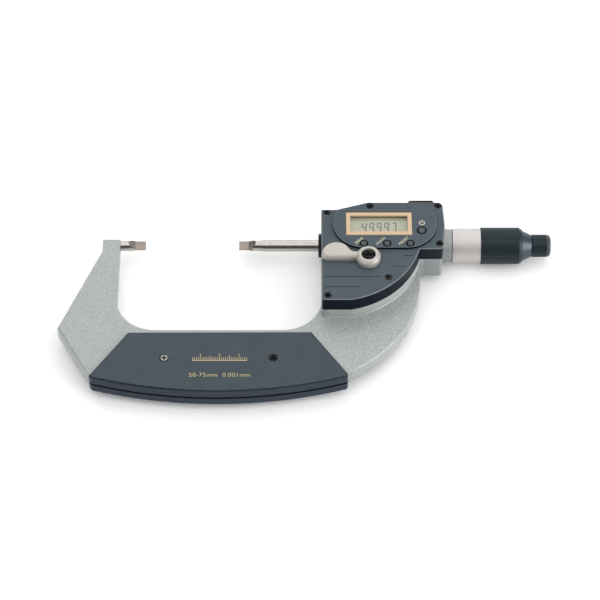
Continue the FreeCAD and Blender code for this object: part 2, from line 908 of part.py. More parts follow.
def make_encoder():
    carrier = block(
        "carrier_blank",
        ("carrier_left", "-carrier_half", "carrier_low"),
        ("carrier_left + carrier_long", "carrier_half", "carrier_high"),
    )
    way = cylinder("carrier_bore", "X", ("carrier_left - 1", "0", "0"), "spindle_radius", "carrier_long + 2")
    keep(cut("scale_carrier", carrier, [way]))
    keep(
        block(
            "encoder_slider",
            ("carrier_left", "-slider_half", "carrier_high"),
            ("carrier_left + carrier_long", "slider_half", "carrier_high + slider_thick"),
        )
    )
    keep(
        block(
            "encoder_board",
            ("pocket_left + 0.2", "-encoder_half", "pocket_ledge"),
            ("pocket_right - 0.2", "encoder_half", "pocket_ledge + encoder_thick"),
        )
    )


# ---------------------------------------------------------------- sleeve, screw and thimble


def make_sleeve():
    profile = [
        ("spigot_front", "bush_radius"),
        ("sleeve_step", "bush_radius"),
        ("sleeve_step", "sleeve_bore"),
        ("sleeve_end", "sleeve_bore"),
        ("sleeve_end", "sleeve_radius"),
        ("collar_end", "sleeve_radius"),
        ("collar_end", "spigot_radius"),
        ("spigot_front", "spigot_radius"),
    ]
    key_way = cylinder("sleeve_key_hole", "Z", ("key_x", "0", "-12"), "key_radius", "12")
    keep(cut("sleeve", turned("sleeve_blank", profile), [key_way]))
    keep(ring("spindle_nut", "nut_front", "nut_end", "nut_bore", "sleeve_bore"))
    keep(ring("adjusting_nut", "nut_end", "sleeve_end", "adjuster_bore", "sleeve_bore"))


def make_screw():
    profile = [
        ("screw_front", "screw_bore"),
        ("screw_flange_end", "screw_bore"),
        ("screw_flange_end", "screw_flange_radius"),
        ("screw_flange_front", "screw_flange_radius"),
        ("screw_flange_front", "screw_radius"),
        ("screw_front", "screw_radius"),
    ]
    keep(turned("thimble_screw", profile))


def flute_cutter(name, radius, deep, front, end, count):
    """A ring of straight V-shaped flutes, as one tool."""
    body = new_body(name)
    half = math.pi * amount(radius) / amount(count) * 0.42
    points = [
        (f"{radius} + 0.4", str(round(-half * 1.6, 3))),
        (f"{radius} + 0.4", str(round(half * 1.6, 3))),
        (f"{radius} - {deep}", str(round(half * 0.25, 3))),
        (f"{radius} - {deep}", str(round(-half * 0.25, 3))),
    ]
    feature = pad(body, points, front, end, "YZ_Plane")
    doc.recompute()
    shape = feature.Shape
    cutters = []
    for step in range(int(amount(count))):
        turned_copy = shape.copy()
        turned_copy.rotate(FreeCAD.Vector(), FreeCAD.Vector(1, 0, 0), 360.0 * step / amount(count))
        cutters.append(turned_copy)
    tool = doc.addObject("Part::Feature", f"{name}_ring")
    tool.Shape = Part.makeCompound(cutters)
    return tool


def make_thimble():
    barrel = [
        ("thimble_front", "thimble_bore"),
        ("screw_flange_front", "thimble_bore"),
        ("screw_flange_front", "grip_seat"),
        ("grip_front", "grip_seat"),
        ("grip_front", "thimble_radius"),
        ("thimble_front + thimble_bevel", "thimble_radius"),
        ("thimble_front", "thimble_radius - thimble_bevel"),
    ]
    keep(turned("thimble_barrel", barrel))
    grip = [
        ("grip_front", "grip_seat"),
        ("grip_end", "grip_seat"),
        ("grip_end", "grip_end_radius"),
        ("grip_bevel_start", "grip_radius"),
        ("grip_front + thimble_bevel", "grip_radius"),
        ("grip_front", "grip_radius - thimble_bevel"),
    ]
    flutes = flute_cutter(
        "grip_flute", "grip_radius", "flute_deep", "grip_front - 1", "grip_end + 1", "grip_flutes"
    )
    keep(cut("thimble_grip", turned("grip_blank", grip), [flutes]))
    cap = [
        ("screw_flange_front", "screw_flange_radius"),
        ("screw_flange_end", "screw_flange_radius"),
        ("screw_flange_end", "cap_cavity_radius"),
        ("cap_wall_front", "cap_cavity_radius"),
        ("cap_wall_front", "stud_radius"),
        ("cap_wall_end", "stud_radius"),
        ("cap_wall_end", "ratchet_plate_radius"),
        ("cone_end", "ratchet_plate_radius"),
        ("cone_end", "cone_end_radius"),
        ("cone_front", "cone_radius"),
        ("cone_front", "grip_seat"),
        ("screw_flange_front", "grip_seat"),
    ]
    keep(turned("thimble_cap", cap))


def make_ratchet():
    plate = ring(
        "ratchet_plate_blank",
        "cap_wall_end",
        "ratchet_plate_end",
        "ratchet_plate_bore",
        "ratchet_plate_radius",
    )
    doc.recompute()
    notch_floor = amount("ratchet_plate_end - ratchet_tooth_deep")
    notch = Part.makeBox(2.0, 4.0, 1.1, FreeCAD.Vector(notch_floor, 1.2, 0))
    notches = []
    for step in range(int(amount("ratchet_teeth"))):
        tooth_gap = notch.copy()
        tooth_gap.rotate(FreeCAD.Vector(), FreeCAD.Vector(1, 0, 0), 360.0 * step / amount("ratchet_teeth"))
        notches.append(tooth_gap)
    gaps = doc.addObject("Part::Feature", "ratchet_gaps")
    gaps.Shape = Part.makeCompound(notches)
    keep(cut("ratchet_plate", plate, [gaps]))
    stud = [
        ("cap_wall_front", "0"),
        ("stud_head_end", "0"),
        ("stud_head_end", "stud_head_radius"),
        ("stud_head_front", "stud_head_radius"),
        ("stud_head_front", "stud_radius"),
        ("cap_wall_front", "stud_radius"),
    ]
    keep(turned("ratchet_screw", stud))
    knob = [
        ("knob_front", "knob_bore"),
        ("knob_floor", "knob_bore"),
        ("knob_floor", "knob_hollow"),
        ("knob_end", "knob_hollow"),
        ("knob_end", "knob_radius"),
        ("knob_front + knob_bevel", "knob_radius"),
        ("knob_front", "knob_radius - knob_bevel"),
    ]
    flutes = flute_cutter(
        "knob_flute", "knob_radius", "flute_deep", "knob_front - 1", "knob_end + 1", "knob_flutes"
    )
    keep(cut("ratchet_knob", turned("knob_blank", knob), [flutes]))
    cap = [
        ("knob_cap_plug", "0"),
        ("knob_cap_end", "0"),
        ("knob_cap_end", "knob_radius - knob_cap_round - 0.1", "knob_cap_round"),
        ("knob_cap_end - knob_cap_round", "knob_radius - 0.1"),
        ("knob_end", "knob_radius - 0.1"),
        ("knob_end", "knob_hollow"),
        ("knob_cap_plug", "knob_hollow"),
    ]
    keep(turned("ratchet_end_cap", cap))
    keep(make_ratchet_spring())


def make_ratchet_spring():
    """A short coil between the knob's floor and the screw's head."""
    wire = amount("spring_wire")
    pitch = amount("spring_pitch")
    radius = amount("spring_radius")
    helix = Part.makeHelix(pitch, pitch * SPRING_TURNS, radius)
    circle = Part.makeCircle(wire, FreeCAD.Vector(radius, 0, 0), FreeCAD.Vector(0, 1, 0))
    section = Part.Wire(circle)
    coil = Part.Wire(helix).makePipeShell([section], True, True)
    spring = doc.addObject("Part::Feature", "ratchet_spring")
    spring.Label = "ratchet_spring"
    spring.Shape = coil
    start = FreeCAD.Vector(amount("knob_floor") + wire + 0.05, 0, 0)
    spring.Placement = FreeCAD.Placement(start, TURN_TO["X"])
    return spring


# ---------------------------------------------------------------- lock lever and clamp


def make_clamp():
    angle = math.radians(-15)
    cam = cylinder(
        "cam",
        "Z",
        (
            f"clamp_x + cam_offset*{round(math.cos(angle), 4)}",
            f"clamp_y + cam_offset*{round(math.sin(angle), 4)}",
            "cam_foot",
        ),
        "cam_radius",
        "cam_top - cam_foot",
    )
    shaft = cylinder(
        "shaft", "Z", ("clamp_x", "clamp_y", "cam_top"), "clamp_shaft", "shaft_shoulder - cam_top"
    )
    spigot = cylinder(
        "spigot",
        "Z",
        ("clamp_x", "clamp_y", "shaft_shoulder - 0.5"),
        "shaft_spigot",
        "shaft_end - shaft_shoulder + 0.5",
    )
    thread = cylinder(
        "shaft_thread",
        "Z",
        ("clamp_x", "clamp_y", "shaft_end - lever_screw_deep"),
        "lever_screw_shank",
        "lever_screw_deep + 1",
    )
    keep(cut("clamp_shaft", joined("clamp_shaft_blank", [cam, shaft, spigot]), [thread]))
    foot = ("clamp_x", "plunger_low", "0")
    keep(cylinder("clamp_plunger", "Y", foot, "plunger_radius", "plunger_high - plunger_low"))


def make_lever():
    paddle = prism(
        "paddle",
        [
            ("clamp_x - 4", "paddle_low"),
            ("clamp_x - 4", "neck_y"),
            ("neck_x", "neck_y", "-neck_round"),
            ("paddle_shoulder", "paddle_shoulder_y", "paddle_shoulder_round"),
            ("paddle_crest", "paddle_crest_y", "paddle_crest_round"),
            ("paddle_left", "paddle_left_y", "paddle_low_round"),
            ("paddle_low_left", "paddle_low"),
        ],
        "lever_floor",
        "lever_top",
    )
    round_edges(paddle, lambda edge: at_height(edge, 2, "lever_top"), "lever_round")
    hub = turned(
        "hub",
        [
            ("lever_floor", "0"),
            ("lever_floor", "hub_radius"),
            ("hub_side", "hub_radius", "hub_radius - 3.6"),
            ("hub_top", "hub_top_radius"),
            ("hub_top", "0"),
        ],
        "Z",
    )
    move(hub, "clamp_x", "clamp_y")
    tools = [
        cylinder("dish", "Z", ("clamp_x", "clamp_y", "shaft_end"), "dish_radius", "5"),
        cylinder("spigot_hole", "Z", ("clamp_x", "clamp_y", "lever_floor - 1"), "shaft_spigot", "5"),
    ]
    keep(cut("lock_lever", joined("lever_blank", [paddle, hub]), tools))
    head = turned(
        "lever_screw_blank",
        [
            ("shaft_end - lever_screw_deep", "0"),
            ("shaft_end - lever_screw_deep", "lever_screw_shank"),
            ("shaft_end", "lever_screw_shank"),
            ("shaft_end", "lever_screw_head"),
            ("lever_screw_top - 0.6", "lever_screw_head"),
            ("lever_screw_top", "lever_screw_head - 0.8"),
            ("lever_screw_top", "0"),
        ],
        "Z",
    )
    move(head, "clamp_x", "clamp_y")
    recess = cross_recess("clamp_x", "clamp_y", "lever_screw_top", "lever_screw_head*0.62")
    keep(cut("lever_screw", head, recess))


# ---------------------------------------------------------------- front housing


def make_cover():
    body = prism("cover_blank", house_outline(), "platform_top + gasket_thick", "cover_top")
    round_house_corners(body)
    round_edges(body, lambda edge: at_height(edge, 2, "cover_top"), "cover_round")
    panel = prism(
        "panel",
        [
            ("panel_left", "panel_middle - panel_radius"),
            ("panel_right", "panel_middle - panel_radius", "panel_radius"),
            ("panel_right + 13.4", "panel_top_edge"),
            ("panel_left - 13.4", "panel_top_edge", "panel_radius"),
        ],
        "cover_top - 1",
        "panel_top",
    )
    round_edges(panel, lambda edge: at_height(edge, 2, "panel_top"), "0.4")
    inside = prism(
        "cover_inside", house_outline("cover_wall"), "platform_top", "cover_top - cover_front"
    )
    posts = [
        cylinder("post", "Z", (x, y, "platform_top - 1"), "cover_screw_boss", "9") for x, y in COVER_SCREWS
    ]
    foot = ("clamp_x", "clamp_y", "platform_top - 1")
    posts.append(cylinder("shaft_post", "Z", foot, "cover_shaft_boss", "9"))
    tools = [cut("cover_hollow", inside, posts)]
    for x, y in COVER_SCREWS:
        tools.append(cylinder("screw_way", "Z", (x, y, "platform_top"), "cover_screw_hole", "10"))
        seat = cylinder("screw_seat", "Z", (x, y, "cover_top - cover_screw_sink"), "cover_screw_seat", "3")
        tools.append(seat)
    tools.append(cylinder("shaft_way", "Z", foot, "cover_shaft_hole", "11"))
    tools += [
        block(
            "bezel_recess",
            ("bezel_left - slack", "bezel_low - slack", "bezel_floor"),
            ("bezel_right + slack", "bezel_high + slack", "panel_top + 1"),
        ),
        block(
            "window_recess",
            ("window_left - slack", "window_low - slack", "window_floor - slack"),
            ("window_right + slack", "window_high + slack", "panel_top"),
        ),
        block(
            "lcd_recess",
            ("lcd_left - slack", "lcd_low - slack", "cover_top - cover_front - 1"),
            ("lcd_right + slack", "lcd_high + slack", "window_floor"),
        ),
        block(
            "port_slot",
            ("port_left - 0.2", "port_back - 0.2", "port_low - 0.2"),
            ("port_right + 0.2", "flap_seat + 1", "port_high + 0.2"),
        ),
    ]
    for x in ("set_x", "unit_x", "zero_x"):
        tools.append(cylinder("button_way", "Z", (x, "button_row", "cover_top - 4"), "button_hole", "8"))
    tools.append(cylinder("power_way", "Z", ("power_x", "power_y", "cover_top - 4"), "power_hole", "8"))
    for left, right, y in FACE_GROOVES:
        low = (str(left), str(y - GROOVE_WIDE / 2), f"cover_top - {GROOVE_DEEP}")
        tools.append(block("face_groove", low, (str(right), f"{y} + {GROOVE_WIDE / 2}", "cover_top + 1")))
    keep(cut("cover_shell", joined("cover_solid", [body, panel]), tools))


def make_gasket():
    sheet_body = prism("gasket_blank", house_outline("0.15"), "platform_top", "platform_top + gasket_thick")
    inside = prism(
        "gasket_inside", house_outline("cover_wall"), "platform_top - 1", "platform_top + gasket_thick + 1"
    )
    keepers = [
        cylinder("pad", "Z", (x, y, "platform_top - 2"), "cover_screw_boss", "4") for x, y in COVER_SCREWS
    ]
    keepers.append(
        cylinder("shaft_pad", "Z", ("clamp_x", "clamp_y", "platform_top - 2"), "cover_shaft_boss", "4")
    )
    under = "platform_top - 1"
    holes = [
        cylinder("gasket_hole", "Z", (x, y, under), "cover_screw_hole", "3") for x, y in COVER_SCREWS
    ]
    holes.append(cylinder("gasket_way", "Z", ("clamp_x", "clamp_y", under), "cover_shaft_hole", "3"))
    opened = cut("gasket_opening", inside, keepers)
    outline = cut("gasket_sheet", sheet_body, [opened] + holes)
    # the post round the clamp shaft stands apart from the rim, so the gasket is two solids
    keep(group("cover_gasket", [outline]))


def make_cover_screws():
    screws = []
    for x, y in COVER_SCREWS:
        top = "cover_top - cover_screw_sink + cover_screw_head_tall"
        head = cylinder(
            "head", "Z", (x, y, "cover_top - cover_screw_sink"), "cover_screw_head", "cover_screw_head_tall"
        )
        start = "cover_top - cover_screw_sink - cover_screw_long"
        shank = cylinder("shank", "Z", (x, y, start), "cover_screw_shank", "cover_screw_long + 0.2")
        blank = joined("cover_screw_blank", [head, shank])
        screws.append(cut("cover_screw", blank, cross_recess(x, y, top, "cover_screw_head*0.66")))
    keep(group("cover_screws", screws))


def make_display():
    outer = prism(
        "bezel_blank",
        rectangle("bezel_left", "bezel_low", "bezel_right", "bezel_high"),
        "bezel_floor",
        "bezel_top",
    )
    round_edges(outer, lambda edge: at_height(edge, 2, "bezel_top"), "0.25", "Chamfer")
    opening = block(
        "bezel_opening",
        ("bezel_left + bezel_side", "bezel_low + bezel_side", "bezel_floor - 1"),
        ("bezel_right - bezel_side", "bezel_high - bezel_side", "bezel_top + 1"),
    )
    keep(cut("display_bezel", outer, [opening]))
    keep(
        block(
            "display_window",
            ("window_left", "window_low", "window_floor"),
            ("window_right", "window_high", "window_top"),
        )
    )
    keep(block("lcd_module", ("lcd_left", "lcd_low", "lcd_floor"), ("lcd_right", "lcd_high", "lcd_top")))
    strips = []
    for row_y in ("strip_low_row", "strip_high_row"):
        low = ("strip_left", row_y, "board_top")
        strips.append(block("strip", low, ("strip_right", f"{row_y} + strip_wide", "lcd_floor")))
    keep(group("zebra_strips", strips))


def make_electronics():
    board = prism(
        "board_blank",
        [
            ("board_left", "board_low"),
            ("board_notch", "board_low"),
            ("board_notch", "board_notch_low"),
            ("board_right", "board_notch_low"),
            ("board_right", "board_high"),
            ("board_left", "board_high"),
        ],
        "board_floor",
        "board_top",
    )
    relief = cylinder("board_relief", "Z", ("clamp_x", "clamp_y", "0"), "cover_shaft_boss + 0.6", "20")
    keep(cut("circuit_board", board, [relief]))
    keep(
        block(
            "processor",
            ("chip_left", "chip_low", "board_top"),
            ("chip_left + chip_side", "chip_low + chip_side", "board_top + chip_tall"),
        )
    )
    mat = prism(
        "button_seal_blank",
        [
            ("mat_left", "board_low"),
            ("board_notch", "board_low"),
            ("board_notch", "board_notch_low"),
            ("mat_right", "board_notch_low"),
            ("mat_right", "mat_power_high"),
            ("mat_power_left", "mat_power_high"),
            ("mat_power_left", "mat_strip_high"),
            ("mat_left", "mat_strip_high"),
        ],
        "board_top",
        "mat_top",
    )
    relief = cylinder("mat_relief", "Z", ("clamp_x", "clamp_y", "0"), "cover_shaft_boss + 0.6", "20")
    keep(cut("button_seal", mat, [relief]))
    socket = block(
        "socket_blank",
        ("port_left", "port_back", "board_top"),
        ("port_right", "port_mouth", "port_high"),
    )
    mouth = block(
        "socket_mouth",
        ("port_left + 1", "port_back + 1", "board_top + 0.8"),
        ("port_right - 1", "port_mouth + 1", "port_high - 0.8"),
    )
    keep(cut("data_port", socket, [mouth]))


def make_port_cover():
    outline = [
        ("flap_left", "flap_seat"),
        ("flap_right", "flap_seat"),
        ("flap_right - flap_slope", "flap_top"),
        ("flap_left + flap_slope", "flap_top"),
    ]
    flap = prism("flap", outline, "flap_low", "flap_high")
    round_edges(flap, lambda edge: at_height(edge, 1, "flap_top"), "flap_round")
    plug = block(
        "flap_plug",
        ("port_left + 0.1", "port_mouth + 0.2", "port_low + 0.1"),
        ("port_right - 0.1", "flap_seat + 0.5", "port_high - 0.1"),
    )
    keep(joined("port_cover", [flap, plug]))


def make_buttons():
    places = (
        ("set_button", "set_x", "button_row", "button_cap"),
        ("unit_button", "unit_x", "button_row", "button_cap"),
        ("zero_button", "zero_x", "button_row", "button_cap"),
        ("power_button", "power_x", "power_y", "power_cap"),
    )
    for name, x, y, radius in places:
        profile = [
            ("button_foot", "0"),
            ("button_foot", radius),
            ("button_flange_low", radius),
            ("button_flange_low", f"{radius} + button_flange_lip"),
            ("button_flange_high", f"{radius} + button_flange_lip"),
            ("button_flange_high", radius),
            ("button_top - button_dome", radius),
            ("button_top", f"{radius} - button_dome - 0.2"),
            ("button_top", "0"),
        ]
        keep(move(turned(name, profile, "Z"), x, y))


# ---------------------------------------------------------------- back cover and battery


def make_back_cover():
    body = prism("back_blank", back_outline(), "back_floor", "-frame_half")
    round_edges(body, lambda edge: at_height(edge, 2, "back_floor"), "cover_round")
    inside = prism("back_inside", back_outline("back_wall"), "back_inner", "-frame_half + 1")
    posts = [cylinder("post", "Z", (x, y, "-12"), "back_screw_post", "14") for x, y in BACK_SCREWS]
    posts.append(cylinder("cell_wall", "Z", ("cell_x", "cell_y", "-12"), "cell_ring", "14"))
    tools = [
        cut("back_hollow", inside, posts),
        cylinder("cell_room", "Z", ("cell_x", "cell_y", "cap_seat"), "cell_ring_bore", "8"),
        cylinder("cap_room", "Z", ("cell_x", "cell_y", "-12"), "cap_hole", "12 + cap_seat"),
        cylinder("barrel_room", "X", ("throat_right", "0", "0"), "barrel_radius + 0.1", "70"),
    ]
    for x, y in BACK_SCREWS:
        tools.append(cylinder("back_way", "Z", (x, y, "-12"), "cover_screw_hole", "12"))
        tools.append(cylinder("back_seat", "Z", (x, y, "-12"), "cover_screw_seat", "3.6"))
    keep(cut("back_cover", body, tools))


def make_back_screws():
    screws = []
    for x, y in BACK_SCREWS:
        head = cylinder("head", "Z", (x, y, "-9.6"), "cover_screw_head", "cover_screw_head_tall")
        shank = cylinder("shank", "Z", (x, y, "-8.6"), "cover_screw_shank", "back_screw_long")
        blank = joined("back_screw_blank", [head, shank])
        screws.append(cut("back_screw", blank, cross_recess(x, y, "-9.6", "cover_screw_head*0.66", "+")))
    keep(group("back_cover_screws", screws))


def make_battery():
    keep(
        cylinder("coin_cell", "Z", ("cell_x", "cell_y", "cell_low"), "cell_radius", "cell_high - cell_low")
    )
    leaf_low = ("cell_x - 5", "cell_y - 2", "cell_high")
    leaf_high = ("cell_x + 5", "cell_y + 2", "-frame_half")
    keep(block("battery_contacts", leaf_low, leaf_high))
    cap = turned(
        "cap_blank",
        [
            ("back_floor", "0"),
            ("cap_disc_top", "0"),
            ("cap_neck_top", "0"),
            ("cap_neck_top", "cap_neck"),
            ("cap_disc_top", "cap_neck"),
            ("cap_disc_top", "cap_radius"),
            ("back_floor + 0.3", "cap_radius"),
            ("back_floor", "cap_radius - 0.3"),
        ],
        "Z",
    )
    move(cap, "cell_x", "cell_y")
    slot = block(
        "coin_slot",
        ("cell_x - coin_slot_long*0.5", "cell_y - coin_slot_wide*0.5", "back_floor - 1"),
        ("cell_x + coin_slot_long*0.5", "cell_y + coin_slot_wide*0.5", "back_floor + coin_slot_deep"),
    )
    keep(cut("battery_cap", cap, [slot]))
    seal = turned(
        "cap_seal",
        [
            ("cap_disc_top", "cap_neck"),
            ("cap_disc_top", "cap_seal_radius"),
            ("cap_seat - 0.1", "cap_seal_radius"),
            ("cap_seat - 0.1", "cap_neck"),
        ],
        "Z",
    )
    keep(move(seal, "cell_x", "cell_y"))


# ---------------------------------------------------------------- build, test and export

make_frame()
make_anvil()
make_plate("front_plate", "")
make_plate("back_plate", "-")
make_plate_screws()
make_guides()
make_spindle()
make_encoder()
make_sleeve()
make_screw()
make_thimble()
make_ratchet()
make_clamp()
make_lever()
make_cover()
make_gasket()
make_cover_screws()
make_display()
make_electronics()
make_port_cover()
make_buttons()
make_back_cover()
make_back_screws()
make_battery()
doc.recompute()

for thing in doc.Objects:
    faults = [word for word in thing.State if word in ("Invalid", "Error")]
    if faults:
        raise RuntimeError(f"{thing.Name} ({thing.Label}) is {faults}")
for thing in SUB_PARTS:
    if thing.Shape.isNull() or not thing.Shape.isValid() or not thing.Shape.Solids:
        raise RuntimeError(f"{thing.Label} has no valid solid")
for thing in SUB_PARTS:
    thing.Shape.exportStep(f"parts/{thing.Label}.step")
    print(thing.Label, len(thing.Shape.Solids), round(thing.Shape.Volume, 1))
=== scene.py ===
"""Digital blade micrometer: finishes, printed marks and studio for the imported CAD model."""

import math

import bmesh
import bpy
from mathutils import Matrix, Vector


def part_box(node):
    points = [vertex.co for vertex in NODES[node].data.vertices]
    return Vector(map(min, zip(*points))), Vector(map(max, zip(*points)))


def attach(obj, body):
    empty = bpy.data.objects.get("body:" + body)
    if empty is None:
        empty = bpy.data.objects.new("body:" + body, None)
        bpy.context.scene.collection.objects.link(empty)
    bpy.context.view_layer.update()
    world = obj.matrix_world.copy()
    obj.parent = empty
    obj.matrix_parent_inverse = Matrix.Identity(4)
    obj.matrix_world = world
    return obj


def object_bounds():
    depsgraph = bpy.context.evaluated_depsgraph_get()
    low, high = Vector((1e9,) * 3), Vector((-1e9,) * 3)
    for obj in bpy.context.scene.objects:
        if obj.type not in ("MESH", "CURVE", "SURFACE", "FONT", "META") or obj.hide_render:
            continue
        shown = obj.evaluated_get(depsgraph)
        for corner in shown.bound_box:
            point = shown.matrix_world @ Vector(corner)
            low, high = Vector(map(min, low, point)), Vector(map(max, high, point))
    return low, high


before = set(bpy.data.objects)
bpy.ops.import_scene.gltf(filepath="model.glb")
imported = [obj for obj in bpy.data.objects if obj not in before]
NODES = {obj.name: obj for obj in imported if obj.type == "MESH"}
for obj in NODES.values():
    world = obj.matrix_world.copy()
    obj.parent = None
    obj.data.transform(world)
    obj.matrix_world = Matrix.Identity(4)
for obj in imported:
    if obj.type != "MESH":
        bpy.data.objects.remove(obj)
CAD_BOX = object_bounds()
MM = 0.001

# ---------------------------------------------------------------- camera

CAMERA_AIM = Vector((82.55, -36.85, 0.0)) * MM
CAMERA_DISTANCE = 1.5
CAMERA_ELEVATION = math.radians(52.0)
CAMERA_LENS, CAMERA_SENSOR = 170.5, 36.0
CAMERA_CLIP = (0.05, 50.0)


def make_camera():
    data = bpy.data.cameras.new("camera")
    data.lens = CAMERA_LENS
    data.sensor_width = CAMERA_SENSOR
    data.clip_start, data.clip_end = CAMERA_CLIP
    camera = bpy.data.objects.new("camera", data)
    bpy.context.scene.collection.objects.link(camera)
    away = Vector((0.0, -math.cos(CAMERA_ELEVATION), math.sin(CAMERA_ELEVATION)))
    camera.location = CAMERA_AIM + away * CAMERA_DISTANCE
    camera.rotation_euler = (-away).to_track_quat("-Z", "Y").to_euler()
    bpy.context.scene.camera = camera


# ---------------------------------------------------------------- node graphs


# Places of the colour sockets on a Mix node.
MIX_FIRST, MIX_SECOND, MIX_RESULT = 6, 7, 2


class Finish:
    """A material whose pattern lies in the row frame, so lengths are in metres."""

    def __init__(self, name, **sockets):
        self.material = bpy.data.materials.new(name)
        self.material.use_nodes = True
        self.tree = self.material.node_tree
        self.shader = self.tree.nodes["Principled BSDF"]
        for key, value in sockets.items():
            self.shader.inputs[key.replace("_", " ")].default_value = value
        self.place = self.add("ShaderNodeTexCoord").outputs["Object"]

    def add(self, kind, **settings):
        node = self.tree.nodes.new(kind)
        for key, value in settings.items():
            setattr(node, key, value)
        return node

    def link(self, source, target):
        self.tree.links.new(source, target)

    def scaled(self, factors):
        """The place stretched by a factor along each axis."""
        node = self.add("ShaderNodeMapping")
        node.inputs["Scale"].default_value = factors
        self.link(self.place, node.inputs["Vector"])
        return node.outputs["Vector"]

    def noise(self, grain, detail=3.0, rough=0.5, stretch=(1, 1, 1)):
        """Noise whose lumps are about grain metres across."""
        node = self.add("ShaderNodeTexNoise")
        node.inputs["Scale"].default_value = 1.0 / grain
        node.inputs["Detail"].default_value = detail
        node.inputs["Roughness"].default_value = rough
        self.link(self.scaled(stretch), node.inputs["Vector"])
        return node.outputs["Fac"]

    def cells(self, size):
        """Rounded cells about size metres across: 0 in their middles, more at their edges."""
        node = self.add("ShaderNodeTexVoronoi", feature="SMOOTH_F1")
        node.inputs["Scale"].default_value = 1.0 / size
        self.link(self.place, node.inputs["Vector"])
        return node.outputs["Distance"]

    def spread(self, source, low, high, start=0.0, end=1.0):
        """source moved from start..end onto low..high, and held inside it."""
        node = self.add("ShaderNodeMapRange")
        for key, value in (("From Min", start), ("From Max", end), ("To Min", low), ("To Max", high)):
            node.inputs[key].default_value = value
        self.link(source, node.inputs["Value"])
        return node.outputs["Result"]

    def sum(self, first, second):
        node = self.add("ShaderNodeMath", operation="ADD")
        self.link(first, node.inputs[0])
        self.link(second, node.inputs[1])
        return node.outputs[0]

    def product(self, first, *others):
        """first times each of the others, which are sockets or numbers."""
        for other in others:
            node = self.add("ShaderNodeMath", operation="MULTIPLY")
            self.link(first, node.inputs[0])
            if isinstance(other, bpy.types.NodeSocket):
                self.link(other, node.inputs[1])
            else:
                node.inputs[1].default_value = other
            first = node.outputs[0]
        return first

    def mix(self, factor, first, second):
        """A colour between first and second, each a colour or a socket."""
        node = self.add("ShaderNodeMix", data_type="RGBA")
        self.link(factor, node.inputs["Factor"])
        for key, value in ((MIX_FIRST, first), (MIX_SECOND, second)):
            if isinstance(value, bpy.types.NodeSocket):
                self.link(value, node.inputs[key])
            else:
                node.inputs[key].default_value = (*value, 1.0)
        return node.outputs[MIX_RESULT]

    def up(self, low=0.55, high=0.8):
        """0 on the sides and 1 where the surface faces out of the display."""
        normal = self.add("ShaderNodeTexCoord").outputs["Normal"]
        node = self.add("ShaderNodeSeparateXYZ")
        self.link(normal, node.inputs[0])
        return self.spread(node.outputs["Z"], 0.0, 1.0, low, high)

    def where(self, axis, low, high):
        """0 at low and 1 at high, both in millimetres, along one axis of the row frame."""
        node = self.add("ShaderNodeSeparateXYZ")
        self.link(self.place, node.inputs[0])
        return self.spread(node.outputs[axis], 0.0, 1.0, low * MM, high * MM)

    def clear_of(self, centre, low, high, axes="XY"):
        """0 at low and 1 at high from centre, in millimetres, along the named axes only."""
        node = self.add("ShaderNodeVectorMath", operation="DISTANCE")
        flat = self.scaled(tuple(1.0 if axis in axes else 0.0 for axis in "XYZ"))
        self.link(flat, node.inputs[0])
        node.inputs[1].default_value = tuple(c * MM for c in centre)
        return self.spread(node.outputs["Value"], 0.0, 1.0, low * MM, high * MM)

    def colour(self, source):
        self.link(source, self.shader.inputs["Base Color"])

    def roughness(self, source, low, high):
        self.link(self.spread(source, low, high), self.shader.inputs["Roughness"])

    def bump(self, *layers):
        """layers are (height, depth in metres); they add up."""
        normal = None
        for height, depth in layers:
            node = self.add("ShaderNodeBump")
            node.inputs["Strength"].default_value = 1.0
            node.inputs["Distance"].default_value = depth
            self.link(height, node.inputs["Height"])
            if normal is not None:
                self.link(normal, node.inputs["Normal"])
            normal = node.outputs["Normal"]
        self.link(normal, self.shader.inputs["Normal"])


def dress(finish, *names):
    for name in names:
        mesh = NODES[name].data
        mesh.materials.clear()
        mesh.materials.append(finish.material)


# ---------------------------------------------------------------- finishes


# Plastic tones: the faces are painted lighter and the sides darker, as painted light and shade; the edge
# tones are a painted highlight on the housing and back cover and a painted dark reflection on the plates. The
# black is painted shade in the gap between the plates.
HOUSING_LIT_FACE, HOUSING_SHADED_SIDE = (0.062, 0.080, 0.094), (0.0018, 0.0045, 0.0118)
HOUSING_EDGE_HIGHLIGHT = (0.17, 0.20, 0.22)
BACK_TONE, BACK_EDGE_HIGHLIGHT = (0.022, 0.028, 0.036), (0.045, 0.055, 0.066)
PLATE_LIT_FACE, PLATE_SHADED_SIDE = (0.047, 0.062, 0.073), (0.026, 0.038, 0.054)
PLATE_EDGE_SHADE = (0.014, 0.020, 0.029)
GAP_SHADE_BLACK = (0.002, 0.003, 0.004)

# Where the enamel's painted light and shade change, in millimetres, each from none of it to all of it:
# painted glints and darker specks on the right-hand arm, painted light on the platform's arc, painted shade
# at the right-hand end, and painted shade in the gap between the plates.
RIGHT_ARM_X, HEEL_X = (55, 115), (147, 149)
WALL_LEFT_X, WALL_RIGHT_X, WALL_Y, WALL_Z = (94.6, 98), (149, 147), (-15, -19), (4.4, 6.5)
JOINT_Y, JOINT_Z, JOINT_INSET = (-84, -86), (0.45, 0.30), (0.4, 0.8)

# Where the ground steel gives way to the carbide blades, in millimetres, and how far from the middle plane
# the painted shade in the gap between the moulded halves reaches.
ANVIL_BLADE_X, SPINDLE_BLADE_X = (-6.4, -5.2), (57.6, 57.2)
MOULDED_JOINT_Z = (0.56, 0.76)


